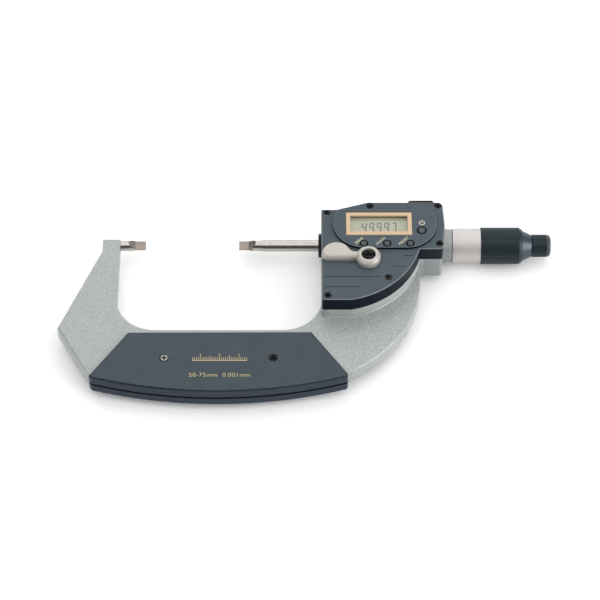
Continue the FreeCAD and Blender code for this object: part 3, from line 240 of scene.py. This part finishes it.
def hammertone():
    """Grey hammer enamel.  It is more speckled on the right-hand arm, with painted glints there, painted
    lighter on the arc of the platform's side face as painted light, painted darker on the sides of the
    right-hand end as painted shade, and painted black as shade in the gap between the two plates."""
    f = Finish("hammertone_enamel", Metallic=0.2, Coat_Weight=0.3, Coat_Roughness=0.25)
    lumps = f.cells(0.75 * MM)
    grain = f.noise(0.30 * MM, detail=2.0)
    patch = f.noise(2.2 * MM, detail=3.0, rough=0.65)
    base = f.mix(f.spread(lumps, 0.0, 1.0, 0.15, 0.65), (0.375, 0.398, 0.390), (0.255, 0.275, 0.270))
    base = f.mix(f.spread(grain, 0.0, 0.7, 0.40, 0.62), base, (0.400, 0.415, 0.405))
    base = f.mix(f.spread(patch, 0.0, 0.35, 0.35, 0.65), base, (0.250, 0.272, 0.268))

    spark = f.noise(0.42 * MM, detail=1.0)
    right_arm = f.where("X", *RIGHT_ARM_X)
    # Painted highlight: pale glints on the right-hand arm.
    painted_glints = f.product(f.spread(spark, 0.0, 0.75, 0.60, 0.70), right_arm)
    base = f.mix(painted_glints, base, (0.64, 0.66, 0.64))
    pits = f.product(f.spread(spark, 0.50, 0.0, 0.30, 0.40), right_arm)
    base = f.mix(pits, base, (0.16, 0.18, 0.175))

    side = f.up(0.7, 0.4)
    # Painted light: the arc of the platform's side face is painted paler.
    wall_light = f.product(
        f.where("Z", *WALL_Z),
        side,
        f.where("X", *WALL_RIGHT_X),
        f.where("X", *WALL_LEFT_X),
        f.where("Y", *WALL_Y),
    )
    base = f.mix(f.product(wall_light, 0.35), base, (0.72, 0.75, 0.73))
    # Painted shade: the sides at the right-hand end are painted darker.
    heel_shade = f.product(f.where("X", *HEEL_X), side)
    base = f.mix(f.product(heel_shade, 0.5), base, (0.19, 0.205, 0.215))

    left, right = (corner.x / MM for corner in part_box("front_plate"))
    # Painted shade: the gap between the two plates is painted black.
    gap_shade = f.product(
        f.clear_of((0, 0, 0), *JOINT_Z, "Z"),
        f.where("Y", *JOINT_Y),
        f.where("X", *(left + inset for inset in JOINT_INSET)),
        f.where("X", *(right - inset for inset in JOINT_INSET)),
    )
    f.colour(f.mix(gap_shade, base, GAP_SHADE_BLACK))
    f.roughness(grain, 0.34, 0.52)
    f.bump((lumps, 0.11 * MM), (grain, 0.035 * MM))
    return f


def moulded(name, face, side, edge):
    """Dark satin plastic with a fine spark-eroded grain.  The broad faces are painted lighter than the sides,
    as painted light and shade, the rounding between them has a painted tone of its own, a painted highlight
    on the housing and back cover and a painted dark reflection on the plates, and the middle plane, where the
    two plates meet, is painted black as shade in the gap."""
    f = Finish(name, IOR=1.46, Specular_IOR_Level=0.17)
    fine = f.noise(0.16 * MM, detail=2.0, rough=0.6)
    broad = f.noise(9 * MM, detail=3.0)
    speck = f.noise(0.5 * MM, detail=2.0)
    top = f.mix(f.spread(broad, 0.0, 1.0, 0.35, 0.65), face, tuple(c * 1.12 for c in face))
    top = f.mix(f.spread(speck, 0.0, 0.5, 0.50, 0.75), top, tuple(c * 0.85 for c in face))
    # Painted light and shade: lighter faces, darker sides, and the painted edge tone on the rounding.
    painted_rim = f.product(f.up(0.45, 0.60), f.up(0.97, 0.85))
    finish = f.mix(painted_rim, f.mix(f.up(), side, top), edge)
    # Painted shade: black on the middle plane, in the gap between the plates.
    f.colour(f.mix(f.clear_of((0, 0, 0), *MOULDED_JOINT_Z, "Z"), GAP_SHADE_BLACK, finish))
    f.roughness(fine, 0.36, 0.56)
    f.bump((fine, 0.010 * MM))
    return f


def ground_steel():
    """Fine grinding marks round the measuring axis; the blades are duller carbide."""
    f = Finish("ground_steel", Metallic=1.0)
    marks = f.noise(0.05 * MM, detail=3.0, rough=0.7, stretch=(1.0, 0.02, 0.02))
    stain = f.noise(3 * MM, detail=3.0)
    shank = f.mix(f.spread(stain, 0.0, 1.0, 0.35, 0.7), (0.50, 0.465, 0.435), (0.43, 0.395, 0.365))
    lapped = f.mix(f.spread(stain, 0.0, 1.0, 0.35, 0.7), (0.30, 0.262, 0.226), (0.25, 0.215, 0.185))
    blade = f.product(f.where("X", *ANVIL_BLADE_X), f.where("X", *SPINDLE_BLADE_X))
    f.colour(f.mix(blade, shank, lapped))
    f.roughness(f.sum(f.spread(marks, 0.0, 0.5), f.product(blade, 0.9)), 0.16, 0.42)
    f.bump((marks, 0.004 * MM))
    return f


def plain_steel(name, colour, low, high):
    f = Finish(name, Metallic=1.0)
    fine = f.noise(0.2 * MM, detail=4.0, rough=0.6)
    f.colour(f.mix(fine, colour, tuple(c * 0.82 for c in colour)))
    f.roughness(fine, low, high)
    f.bump((fine, 0.006 * MM))
    return f


def satin_chrome():
    f = Finish("satin_chrome", Metallic=1.0)
    fine = f.noise(0.12 * MM, detail=3.0, rough=0.7, stretch=(1.0, 0.15, 0.15))
    cloud = f.noise(6 * MM, detail=2.0)
    f.colour(f.mix(f.spread(cloud, 0.0, 1.0, 0.3, 0.7), (0.60, 0.58, 0.565), (0.56, 0.54, 0.525)))
    f.roughness(fine, 0.52, 0.66)
    f.bump((fine, 0.008 * MM))
    return f


def anodised(name, colour, gloss=0.34, metallic=0.25):
    f = Finish(name, Metallic=metallic, Specular_IOR_Level=0.35)
    fine = f.noise(0.15 * MM, detail=3.0, rough=0.6)
    wear = f.noise(1.5 * MM, detail=5.0, rough=0.7)
    worn = tuple(c * 1.8 + 0.01 for c in colour)
    f.colour(f.mix(f.spread(wear, 0.0, 0.5, 0.58, 0.8), colour, worn))
    f.roughness(fine, gloss, gloss + 0.14)
    f.bump((fine, 0.006 * MM))
    return f


def cast_lever():
    f = Finish("lever_enamel", Metallic=0.15, Coat_Weight=0.3, Coat_Roughness=0.25)
    fine = f.noise(0.3 * MM, detail=3.0, rough=0.6)
    broad = f.noise(5 * MM, detail=2.0)
    f.colour(f.mix(f.spread(broad, 0.0, 1.0, 0.3, 0.7), (0.455, 0.430, 0.385), (0.425, 0.400, 0.355)))
    f.roughness(fine, 0.32, 0.46)
    f.bump((fine, 0.015 * MM))
    return f


def lacquer(name, colour, low=0.22, high=0.36):
    f = Finish(name, Specular_IOR_Level=0.5, Coat_Weight=0.25, Coat_Roughness=0.12)
    fine = f.noise(0.25 * MM, detail=3.0, rough=0.6)
    f.colour(f.mix(fine, colour, tuple(c * 0.9 for c in colour)))
    f.roughness(fine, low, high)
    f.bump((fine, 0.004 * MM))
    return f


def rubber():
    colour = (0.006, 0.0065, 0.008)
    f = Finish("soft_rubber", Specular_IOR_Level=0.3)
    fine = f.noise(0.2 * MM, detail=4.0, rough=0.7)
    f.colour(f.mix(fine, colour, tuple(c * 1.5 for c in colour)))
    f.roughness(fine, 0.55, 0.75)
    f.bump((fine, 0.015 * MM))
    return f


# The place of the plate screw painted pale as a painted reflection, and how far its recess and its head
# reach, in millimetres.
LEFT_SCREW = (12.3, -79.4, 0.0)
LEFT_RECESS, LEFT_HEAD = (0.45, 0.65), (1.75, 1.95)
RECESS_DEPTH = (0.30, 0.14)


def screw_heads(node):
    """Black oxide heads with a few painted glints as highlights and a recess painted black as shade.  The
    left-hand plate screw's head is painted pale as a painted reflection, with a black painted recess."""
    f = Finish(f"{node}_finish", Metallic=0.8)
    fine = f.noise(0.3 * MM, detail=4.0, rough=0.6)
    # Painted highlights: a few pale glints on the heads.
    painted_head_glint = f.noise(0.55 * MM, detail=1.0)
    oxide = f.mix(f.spread(fine, 0.0, 1.0, 0.5, 0.8), (0.003, 0.003, 0.004), (0.020, 0.020, 0.022))
    head = f.mix(f.spread(painted_head_glint, 0.0, 0.6, 0.63, 0.70), oxide, (0.36, 0.36, 0.36))
    if node == "plate_screws":
        # Painted reflection: the left-hand plate screw's head is painted pale, and its recess is painted
        # black as shade.
        painted_reflection = f.mix(fine, (0.40, 0.40, 0.37), (0.28, 0.28, 0.27))
        painted_reflection = f.mix(f.clear_of(LEFT_SCREW, *LEFT_RECESS), (0.004, 0.004, 0.004), painted_reflection)
        head = f.mix(f.clear_of(LEFT_SCREW, *LEFT_HEAD), painted_reflection, head)
    low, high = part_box(node)
    top = max(abs(low.z), abs(high.z)) / MM
    # Painted shade: everything below the head's top, the recess, is painted black.
    outside_recess_shade = f.clear_of((0, 0, 0), *(top - depth for depth in RECESS_DEPTH), "Z")
    f.colour(f.mix(outside_recess_shade, (0.002, 0.002, 0.002), head))
    f.roughness(fine, 0.28, 0.48)
    f.bump((fine, 0.02 * MM))
    return f


def circuit():
    """Green lacquer over a grid of paler tracks."""
    f = Finish("circuit_lacquer", Specular_IOR_Level=0.6)
    brick = f.add("ShaderNodeTexBrick")
    brick.inputs["Scale"].default_value = 420.0
    brick.inputs["Mortar Size"].default_value = 0.06
    f.link(f.place, brick.inputs["Vector"])
    fine = f.noise(0.4 * MM)
    base = f.mix(fine, (0.010, 0.085, 0.035), (0.014, 0.11, 0.05))
    f.colour(f.mix(brick.outputs["Fac"], base, (0.05, 0.20, 0.07)))
    f.roughness(fine, 0.25, 0.4)
    f.bump((brick.outputs["Fac"], 0.02 * MM))
    return f


def window_glass():
    """A clear pane: see-through, with reflections that grow at grazing angles."""
    material = bpy.data.materials.new("clear_pane")
    material.use_nodes = True
    tree = material.node_tree
    tree.nodes.clear()
    out = tree.nodes.new("ShaderNodeOutputMaterial")
    mix = tree.nodes.new("ShaderNodeMixShader")
    clear = tree.nodes.new("ShaderNodeBsdfTransparent")
    clear.inputs["Color"].default_value = (0.97, 0.98, 0.96, 1.0)
    gloss = tree.nodes.new("ShaderNodeBsdfGlossy")
    gloss.inputs["Roughness"].default_value = 0.06
    facing = tree.nodes.new("ShaderNodeLayerWeight")
    facing.inputs["Blend"].default_value = 0.25
    gain = tree.nodes.new("ShaderNodeMapRange")
    gain.inputs["To Min"].default_value = 0.02
    gain.inputs["To Max"].default_value = 0.35
    tree.links.new(facing.outputs["Facing"], gain.inputs["Value"])
    tree.links.new(gain.outputs["Result"], mix.inputs["Fac"])
    tree.links.new(clear.outputs["BSDF"], mix.inputs[1])
    tree.links.new(gloss.outputs["BSDF"], mix.inputs[2])
    tree.links.new(mix.outputs["Shader"], out.inputs["Surface"])
    NODES["display_window"].data.materials.clear()
    NODES["display_window"].data.materials.append(material)


def display_glass():
    """The reflective liquid-crystal cell: pale grey-green with a soft polariser grain."""
    f = Finish("liquid_crystal", Specular_IOR_Level=0.25)
    fine = f.noise(0.25 * MM, detail=2.0)
    broad = f.noise(8 * MM, detail=2.0)
    base = f.mix(broad, (0.455, 0.455, 0.345), (0.405, 0.410, 0.310))
    f.colour(f.mix(f.spread(fine, 0.0, 0.25), base, (0.48, 0.48, 0.38)))
    f.roughness(fine, 0.35, 0.5)
    f.bump((fine, 0.002 * MM))
    return f


def ink(name, colour, rough=0.4, metallic=0.0):
    """Printed marks, with the slight unevenness of pad printing."""
    f = Finish(name, Metallic=metallic)
    fine = f.noise(0.12 * MM, detail=3.0, rough=0.7)
    f.colour(f.mix(fine, colour, tuple(c * 0.8 for c in colour)))
    f.roughness(fine, rough, rough + 0.15)
    return f


def dress_everything():
    """Finish every CAD node, and return the frame's enamel for the piece that shares it."""
    enamel = hammertone()
    dress(enamel, "frame")
    dress(moulded("housing_plastic", HOUSING_LIT_FACE, HOUSING_SHADED_SIDE, HOUSING_EDGE_HIGHLIGHT), "cover_shell")
    dress(moulded("back_plastic", BACK_TONE, BACK_TONE, BACK_EDGE_HIGHLIGHT), "back_cover", "battery_cap")
    dress(moulded("plate_plastic", PLATE_LIT_FACE, PLATE_SHADED_SIDE, PLATE_EDGE_SHADE), "front_plate", "back_plate")
    dress(ground_steel(), "spindle", "anvil", "thimble_screw", "ratchet_screw", "key_pin")
    steel = plain_steel("machined_steel", (0.55, 0.54, 0.52), 0.25, 0.42)
    dress(steel, "spindle_nut", "adjusting_nut", "tail_nut", "clamp_shaft", "ratchet_plate")
    dress(satin_chrome(), "thimble_barrel", "sleeve")
    dress(anodised("grip_anodised", (0.018, 0.029, 0.036)), "thimble_grip", "ratchet_knob")
    dress(anodised("cone_anodised", (0.058, 0.078, 0.092), 0.26, 0.6), "thimble_cap")
    dress(anodised("end_anodised", (0.050, 0.060, 0.066), 0.3, 0.5), "ratchet_end_cap")
    dress(cast_lever(), "lock_lever")
    dress(lacquer("bezel_lacquer", (0.575, 0.405, 0.248)), "display_bezel")
    dress(display_glass(), "lcd_module")
    window_glass()
    dress(circuit(), "circuit_board", "encoder_board", "encoder_slider")
    dress(lacquer("moulded_black", (0.012, 0.012, 0.013), 0.35, 0.5), "processor", "data_port")
    dress(rubber(), "seal_ring", "cover_gasket", "zebra_strips", "button_seal", "port_cover", "cap_seal")
    keys = lacquer("key_plastic", (0.033, 0.040, 0.048), 0.25, 0.38)
    dress(keys, "set_button", "unit_button", "zero_button", "power_button")
    dress(plain_steel("brass", (0.62, 0.43, 0.18), 0.25, 0.4), "front_bush", "rear_bush", "scale_carrier")
    dress(plain_steel("plunger_brass", (0.60, 0.42, 0.18), 0.3, 0.45), "clamp_plunger")
    for node in ("plate_screws", "cover_screws", "back_cover_screws", "lever_screw"):
        dress(screw_heads(node), node)
    dress(plain_steel("cell_can", (0.66, 0.66, 0.68), 0.15, 0.3), "coin_cell")
    dress(plain_steel("spring_wire", (0.42, 0.42, 0.43), 0.2, 0.35), "battery_contacts", "ratchet_spring")
    return enamel


# ---------------------------------------------------------------- printed marks


def piece(name, mesh, body, finish):
    item = bpy.data.objects.new(name, mesh)
    bpy.context.scene.collection.objects.link(item)
    mesh.materials.clear()
    mesh.materials.append(finish.material)
    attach(item, body)


def plate_mesh(name, polygons, low, high):
    """Flat polygons, each a list of (x, y) in millimetres, raised from low to high."""
    bm = bmesh.new()
    for polygon in polygons:
        ring = [bm.verts.new(Vector((x, y, low)) * MM) for x, y in polygon]
        face = bm.faces.new(ring)
        lifted = bmesh.ops.extrude_face_region(bm, geom=[face])
        for vert in lifted["geom"]:
            if isinstance(vert, bmesh.types.BMVert):
                vert.co.z += (high - low) * MM
    bmesh.ops.recalc_face_normals(bm, faces=bm.faces)
    mesh = bpy.data.meshes.new(name)
    bm.to_mesh(mesh)
    bm.free()
    return mesh


def text_mesh(name, words, length, centre, turn=0.0, thinner=0.0):
    """Words as a thin solid of the given length, centred on (x, y, z) in millimetres.
    thinner is what comes off each side of a stroke before the words are brought to length."""
    curve = bpy.data.curves.new(name, "FONT")
    curve.body = words
    curve.size = 10 * MM
    curve.space_character = LETTER_SPACE
    curve.offset = -thinner * MM
    holder = bpy.data.objects.new(name, curve)
    mesh = bpy.data.meshes.new_from_object(holder)
    bpy.data.objects.remove(holder)
    bpy.data.curves.remove(curve)
    across = [vert.co.x for vert in mesh.vertices]
    upward = [vert.co.y for vert in mesh.vertices]
    scale = length * MM / (max(across) - min(across))
    middle = Vector(((max(across) + min(across)) / 2, (max(upward) + min(upward)) / 2, 0.0))
    mesh.transform(Matrix.Scale(scale, 4) @ Matrix.Translation(-middle))
    bm = bmesh.new()
    bm.from_mesh(mesh)
    lifted = bmesh.ops.extrude_face_region(bm, geom=bm.faces[:])
    for vert in lifted["geom"]:
        if isinstance(vert, bmesh.types.BMVert):
            vert.co.z += LETTER_THICK * MM
    bmesh.ops.recalc_face_normals(bm, faces=bm.faces)
    bm.to_mesh(mesh)
    bm.free()
    mesh.transform(Matrix.Translation(Vector(centre) * MM) @ Matrix.Rotation(math.radians(turn), 4, "Z"))
    return mesh


# Printed marks, in millimetres: the start and end of flat ones above their face, and the
# thickness of letters, which start at the same height.
INK_GAP, INK_TOP, LETTER_THICK, LETTER_SPACE = 0.005, 0.03, 0.02, 1.08
DIGIT_GAP, DIGIT_TOP = 0.01, 0.05

# Name, words, middle and length of the words printed beside the keys.
KEY_WORD_Y, KEY_WORD_TURN = -13.0, 45
KEY_WORDS = (
    ("zero_mark", "ZERO", 113.6, 5.6),
    ("unit_mark", "mm/in", 124.95, 6.2),
    ("set_mark", "PRESET", 137.25, 6.8),
)

# Segments of a seven-segment digit, named a to g as usual; no digit shown here has an e.
DIGIT_SEGMENTS = {"4": "bcfg", "9": "abcdfg", "7": "abc"}
DIGIT_WIDE, DIGIT_TALL, DIGIT_STROKE = 1.95, 6.2, 0.72
DIGIT_SLANT, DIGIT_BREAK = 0.09, 0.03
DIGIT_LEFT, DIGIT_LOW, DIGIT_PITCH = 115.3, -5.35, 3.95
DIGITS_SHOWN, DECIMAL_POINT = "49997", (122.35, -6.2, 122.9, -5.65)

POWER_X, POWER_Y, POWER_RADIUS, POWER_STROKE = 147.2, -0.8, 1.35, 0.40
POWER_ARC, POWER_BAR = (125, 415), (147.0, -0.6, 147.42, 1.1)
ARC_STEPS = 28

RANGE_WORDS, RANGE_LENGTH, RANGE_X, RANGE_Y = "50-75mm  0.001mm", 31.5, 41.1, -90.4
RANGE_THINNER = 0.06

# The scale drawn on the front plate: lines a millimetre apart, standing on a base.
SCALE_LEFT, SCALE_LINES, SCALE_Y, SCALE_STROKE = 27.0, 29, -80.95, 0.22
SCALE_BASE = (26.8, -81.3, 55.2, SCALE_Y)
SHORT_LINE, MIDDLE_LINE, LONG_LINE = 1.9, 3.0, 4.2


def bar(x0, y0, x1, y1, wide):
    """A pointed bar from one end to the other."""
    along = Vector((x1 - x0, y1 - y0)).normalized()
    across = Vector((-along.y, along.x)) * wide / 2
    tip = along * wide / 2
    start, end = Vector((x0, y0)), Vector((x1, y1))
    corners = (start, start + tip - across, end - tip - across, end, end - tip + across, start + tip + across)
    return [(c.x, c.y) for c in corners]


def digit(symbol, x, y):
    """Polygons of one digit whose lower left corner is at (x, y)."""
    w, h, gap = DIGIT_WIDE, DIGIT_TALL / 2, DIGIT_BREAK
    lines = {
        "a": (gap, 2 * h, w - gap, 2 * h),
        "b": (w, h + gap, w, 2 * h - gap),
        "c": (w, gap, w, h - gap),
        "d": (gap, 0, w - gap, 0),
        "f": (0, h + gap, 0, 2 * h - gap),
        "g": (gap, h, w - gap, h),
    }
    shapes = [bar(*lines[key], DIGIT_STROKE) for key in DIGIT_SEGMENTS[symbol]]
    return [[(x + px + py * DIGIT_SLANT, y + py) for px, py in shape] for shape in shapes]


def ring_arc(x, y, radius, wide, start, end):
    """A band of a circle, as small quads; start and end are in degrees."""
    quads = []
    inner, outer = radius - wide / 2, radius + wide / 2
    for step in range(ARC_STEPS):
        a = math.radians(start + (end - start) * step / ARC_STEPS)
        b = math.radians(start + (end - start) * (step + 1) / ARC_STEPS)
        quads.append(
            [
                (x + inner * math.cos(a), y + inner * math.sin(a)),
                (x + outer * math.cos(a), y + outer * math.sin(a)),
                (x + outer * math.cos(b), y + outer * math.sin(b)),
                (x + inner * math.cos(b), y + inner * math.sin(b)),
            ]
        )
    return quads


def box_polygon(x0, y0, x1, y1):
    return [(x0, y0), (x1, y0), (x1, y1), (x0, y1)]


# The foot of the platform, in millimetres: a straight run to a bend, then an arc.  Its cove
# tapers at both ends: the share of its size there, and the steps in which it would grow by one.
FOOT_START, FOOT_BEND, FOOT_END = Vector((94.2, -51.2)), Vector((109.6, -51.2)), Vector((145.8, -17.3))
FOOT_RADIUS, FOOT_Z, FOOT_COVE, FOOT_OVERLAP = 47.5, 4.5, 0.95, 0.3
FOOT_STRAIGHT_STEPS, FOOT_ARC_STEPS, FOOT_COVE_STEPS = 12, 60, 8
TAPER_START, TAPER_START_STEPS, TAPER_END, TAPER_END_STEPS = 0.25, 5, 0.12, 22


def foot_line():
    """Points along the platform's foot, each with the direction away from the platform."""
    line = []
    for step in range(FOOT_STRAIGHT_STEPS):
        spot = FOOT_START.lerp(FOOT_BEND, step / FOOT_STRAIGHT_STEPS)
        line.append((spot, Vector((0.0, -1.0))))
    chord = FOOT_END - FOOT_BEND
    height = math.sqrt(FOOT_RADIUS**2 - chord.length_squared / 4)
    centre = (FOOT_BEND + FOOT_END) / 2 + Vector((-chord.y, chord.x)).normalized() * height
    first, last = (math.atan2(*(end - centre).yx) for end in (FOOT_BEND, FOOT_END))
    for step in range(FOOT_ARC_STEPS):
        angle = first + (last - first) * step / FOOT_ARC_STEPS
        out = Vector((math.cos(angle), math.sin(angle)))
        line.append((centre + out * FOOT_RADIUS, out))
    return line


def make_platform_foot(enamel):
    """The cove of enamel where the housing's platform rises from the frame's face."""
    line = foot_line()
    bm = bmesh.new()
    rings = []
    for index, (spot, out) in enumerate(line):
        growing = TAPER_START + index / TAPER_START_STEPS
        shrinking = TAPER_END + (len(line) - 1 - index) / TAPER_END_STEPS
        cove = FOOT_COVE * min(1.0, growing, shrinking)
        corners = [(-FOOT_OVERLAP, -FOOT_OVERLAP)]
        for part in range(FOOT_COVE_STEPS + 1):
            turn = math.radians(90 * part / FOOT_COVE_STEPS)
            corners.append((cove * (1 - math.cos(turn)), cove * (1 - math.sin(turn))))
        rings.append(
            [bm.verts.new(Vector((*(spot + out * away), FOOT_Z + rise)) * MM) for away, rise in corners]
        )
    for near, far in zip(rings, rings[1:]):
        for a in range(len(near)):
            b = (a + 1) % len(near)
            bm.faces.new((near[a], near[b], far[b], far[a]))
    bm.faces.new(rings[0])
    bm.faces.new(rings[-1])
    bmesh.ops.recalc_face_normals(bm, faces=bm.faces)
    for face in bm.faces:
        face.smooth = len(face.verts) == 4
    mesh = bpy.data.meshes.new("platform_foot")
    bm.to_mesh(mesh)
    bm.free()
    piece("platform_foot", mesh, "body", enamel)


def make_marks():
    lcd_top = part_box("lcd_module")[1].z / MM
    panel_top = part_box("cover_shell")[1].z / MM
    plate_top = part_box("front_plate")[1].z / MM
    dark = ink("liquid_crystal_dark", (0.085, 0.094, 0.075))
    gold = ink("gold_print", (0.66, 0.50, 0.27), 0.35, 0.2)
    cream = ink("cream_print", (0.74, 0.68, 0.44), 0.35)

    polygons = []
    for index, symbol in enumerate(DIGITS_SHOWN):
        polygons += digit(symbol, DIGIT_LEFT + DIGIT_PITCH * index, DIGIT_LOW)
    polygons.append(box_polygon(*DECIMAL_POINT))
    marks = plate_mesh("lcd_digits", polygons, lcd_top + DIGIT_GAP, lcd_top + DIGIT_TOP)
    piece("lcd_digits", marks, "body", dark)

    power = ring_arc(POWER_X, POWER_Y, POWER_RADIUS, POWER_STROKE, *POWER_ARC)
    power.append(box_polygon(*POWER_BAR))
    marks = plate_mesh("power_icon", power, panel_top + INK_GAP, panel_top + INK_TOP)
    piece("power_icon", marks, "body", cream)

    for name, words, x, length in KEY_WORDS:
        mesh = text_mesh(name, words, length, (x, KEY_WORD_Y, panel_top + INK_GAP), KEY_WORD_TURN)
        piece(name, mesh, "body", cream)

    centre = (RANGE_X, RANGE_Y, plate_top + INK_GAP)
    mesh = text_mesh("range_mark", RANGE_WORDS, RANGE_LENGTH, centre, thinner=RANGE_THINNER)
    piece("range_mark", mesh, "body", gold)

    lines = [box_polygon(*SCALE_BASE)]
    for step in range(SCALE_LINES):
        tall = LONG_LINE if step % 10 == 4 else MIDDLE_LINE if step % 5 == 4 else SHORT_LINE
        x = SCALE_LEFT + step
        lines.append(box_polygon(x - SCALE_STROKE / 2, SCALE_Y, x + SCALE_STROKE / 2, SCALE_Y + tall))
    marks = plate_mesh("scale_motif", lines, plate_top + INK_GAP, plate_top + INK_TOP)
    piece("scale_motif", marks, "body", gold)


# ---------------------------------------------------------------- studio


# Lengths of the studio are in metres.
FLOOR_X, FLOOR_HALF, FLOOR_GAP = 0.08, 12.0, 0.0002
FLOOR_GREY, FLOOR_GLOW = 0.93, 0.10

# Name, place, aim, width and height, and power in watts.
LIGHTS = (
    ("softbox_top", (0.08, 0.30, 1.6), (0.08, 0.30, 0.0), (3.2, 2.6), 37.0),
    ("softbox_back", (0.08, 1.75, 0.85), (0.08, 0.0, 0.3), (3.2, 1.3), 21.0),
    ("softbox_left", (-1.7, 0.0, 0.6), (0.08, 0.0, 0.1), (1.4, 1.0), 2.8),
    ("softbox_right", (1.86, 0.0, 0.6), (0.08, 0.0, 0.1), (1.4, 1.0), 2.8),
    ("fill_right", (1.85, -0.75, 0.70), (0.1, 0.0, 0.0), (1.5, 1.3), 30.0),
    ("fill_left", (-1.3, -1.15, 0.75), (0.05, 0.0, 0.0), (1.4, 1.2), 8.0),
)
SKY_COLOUR, SKY_STRENGTH = (0.93, 0.95, 1.0, 1.0), 0.10


def make_floor():
    """A white sheet just under the tool; its slight glow keeps the shadows faint."""
    bm = bmesh.new()
    bmesh.ops.create_grid(bm, x_segments=2, y_segments=2, size=FLOOR_HALF)
    mesh = bpy.data.meshes.new("floor")
    bm.to_mesh(mesh)
    bm.free()
    floor = bpy.data.objects.new("floor", mesh)
    floor.location = (FLOOR_X, 0.0, CAD_BOX[0].z - FLOOR_GAP)
    bpy.context.scene.collection.objects.link(floor)
    paper = Finish("studio_paper", Roughness=0.9, Specular_IOR_Level=0.0, Emission_Strength=FLOOR_GLOW)
    paper.shader.inputs["Base Color"].default_value = (FLOOR_GREY, FLOOR_GREY, FLOOR_GREY, 1.0)
    paper.shader.inputs["Emission Color"].default_value = (1.0, 1.0, 1.0, 1.0)
    mesh.materials.append(paper.material)


def area_light(name, spot, aim, size, power):
    data = bpy.data.lights.new(name, "AREA")
    data.shape = "RECTANGLE"
    data.size, data.size_y = size
    data.energy = power
    lamp = bpy.data.objects.new(name, data)
    lamp.location = spot
    lamp.rotation_euler = (Vector(aim) - Vector(spot)).to_track_quat("-Z", "Y").to_euler()
    bpy.context.scene.collection.objects.link(lamp)


def make_studio():
    make_floor()
    for light in LIGHTS:
        area_light(*light)
    world = bpy.data.worlds.new("studio")
    world.use_nodes = True
    background = world.node_tree.nodes["Background"]
    background.inputs["Color"].default_value = SKY_COLOUR
    background.inputs["Strength"].default_value = SKY_STRENGTH
    bpy.context.scene.world = world
    bpy.context.scene.view_settings.view_transform = "Standard"


make_camera()
frame_enamel = dress_everything()
make_platform_foot(frame_enamel)
make_marks()
make_studio()
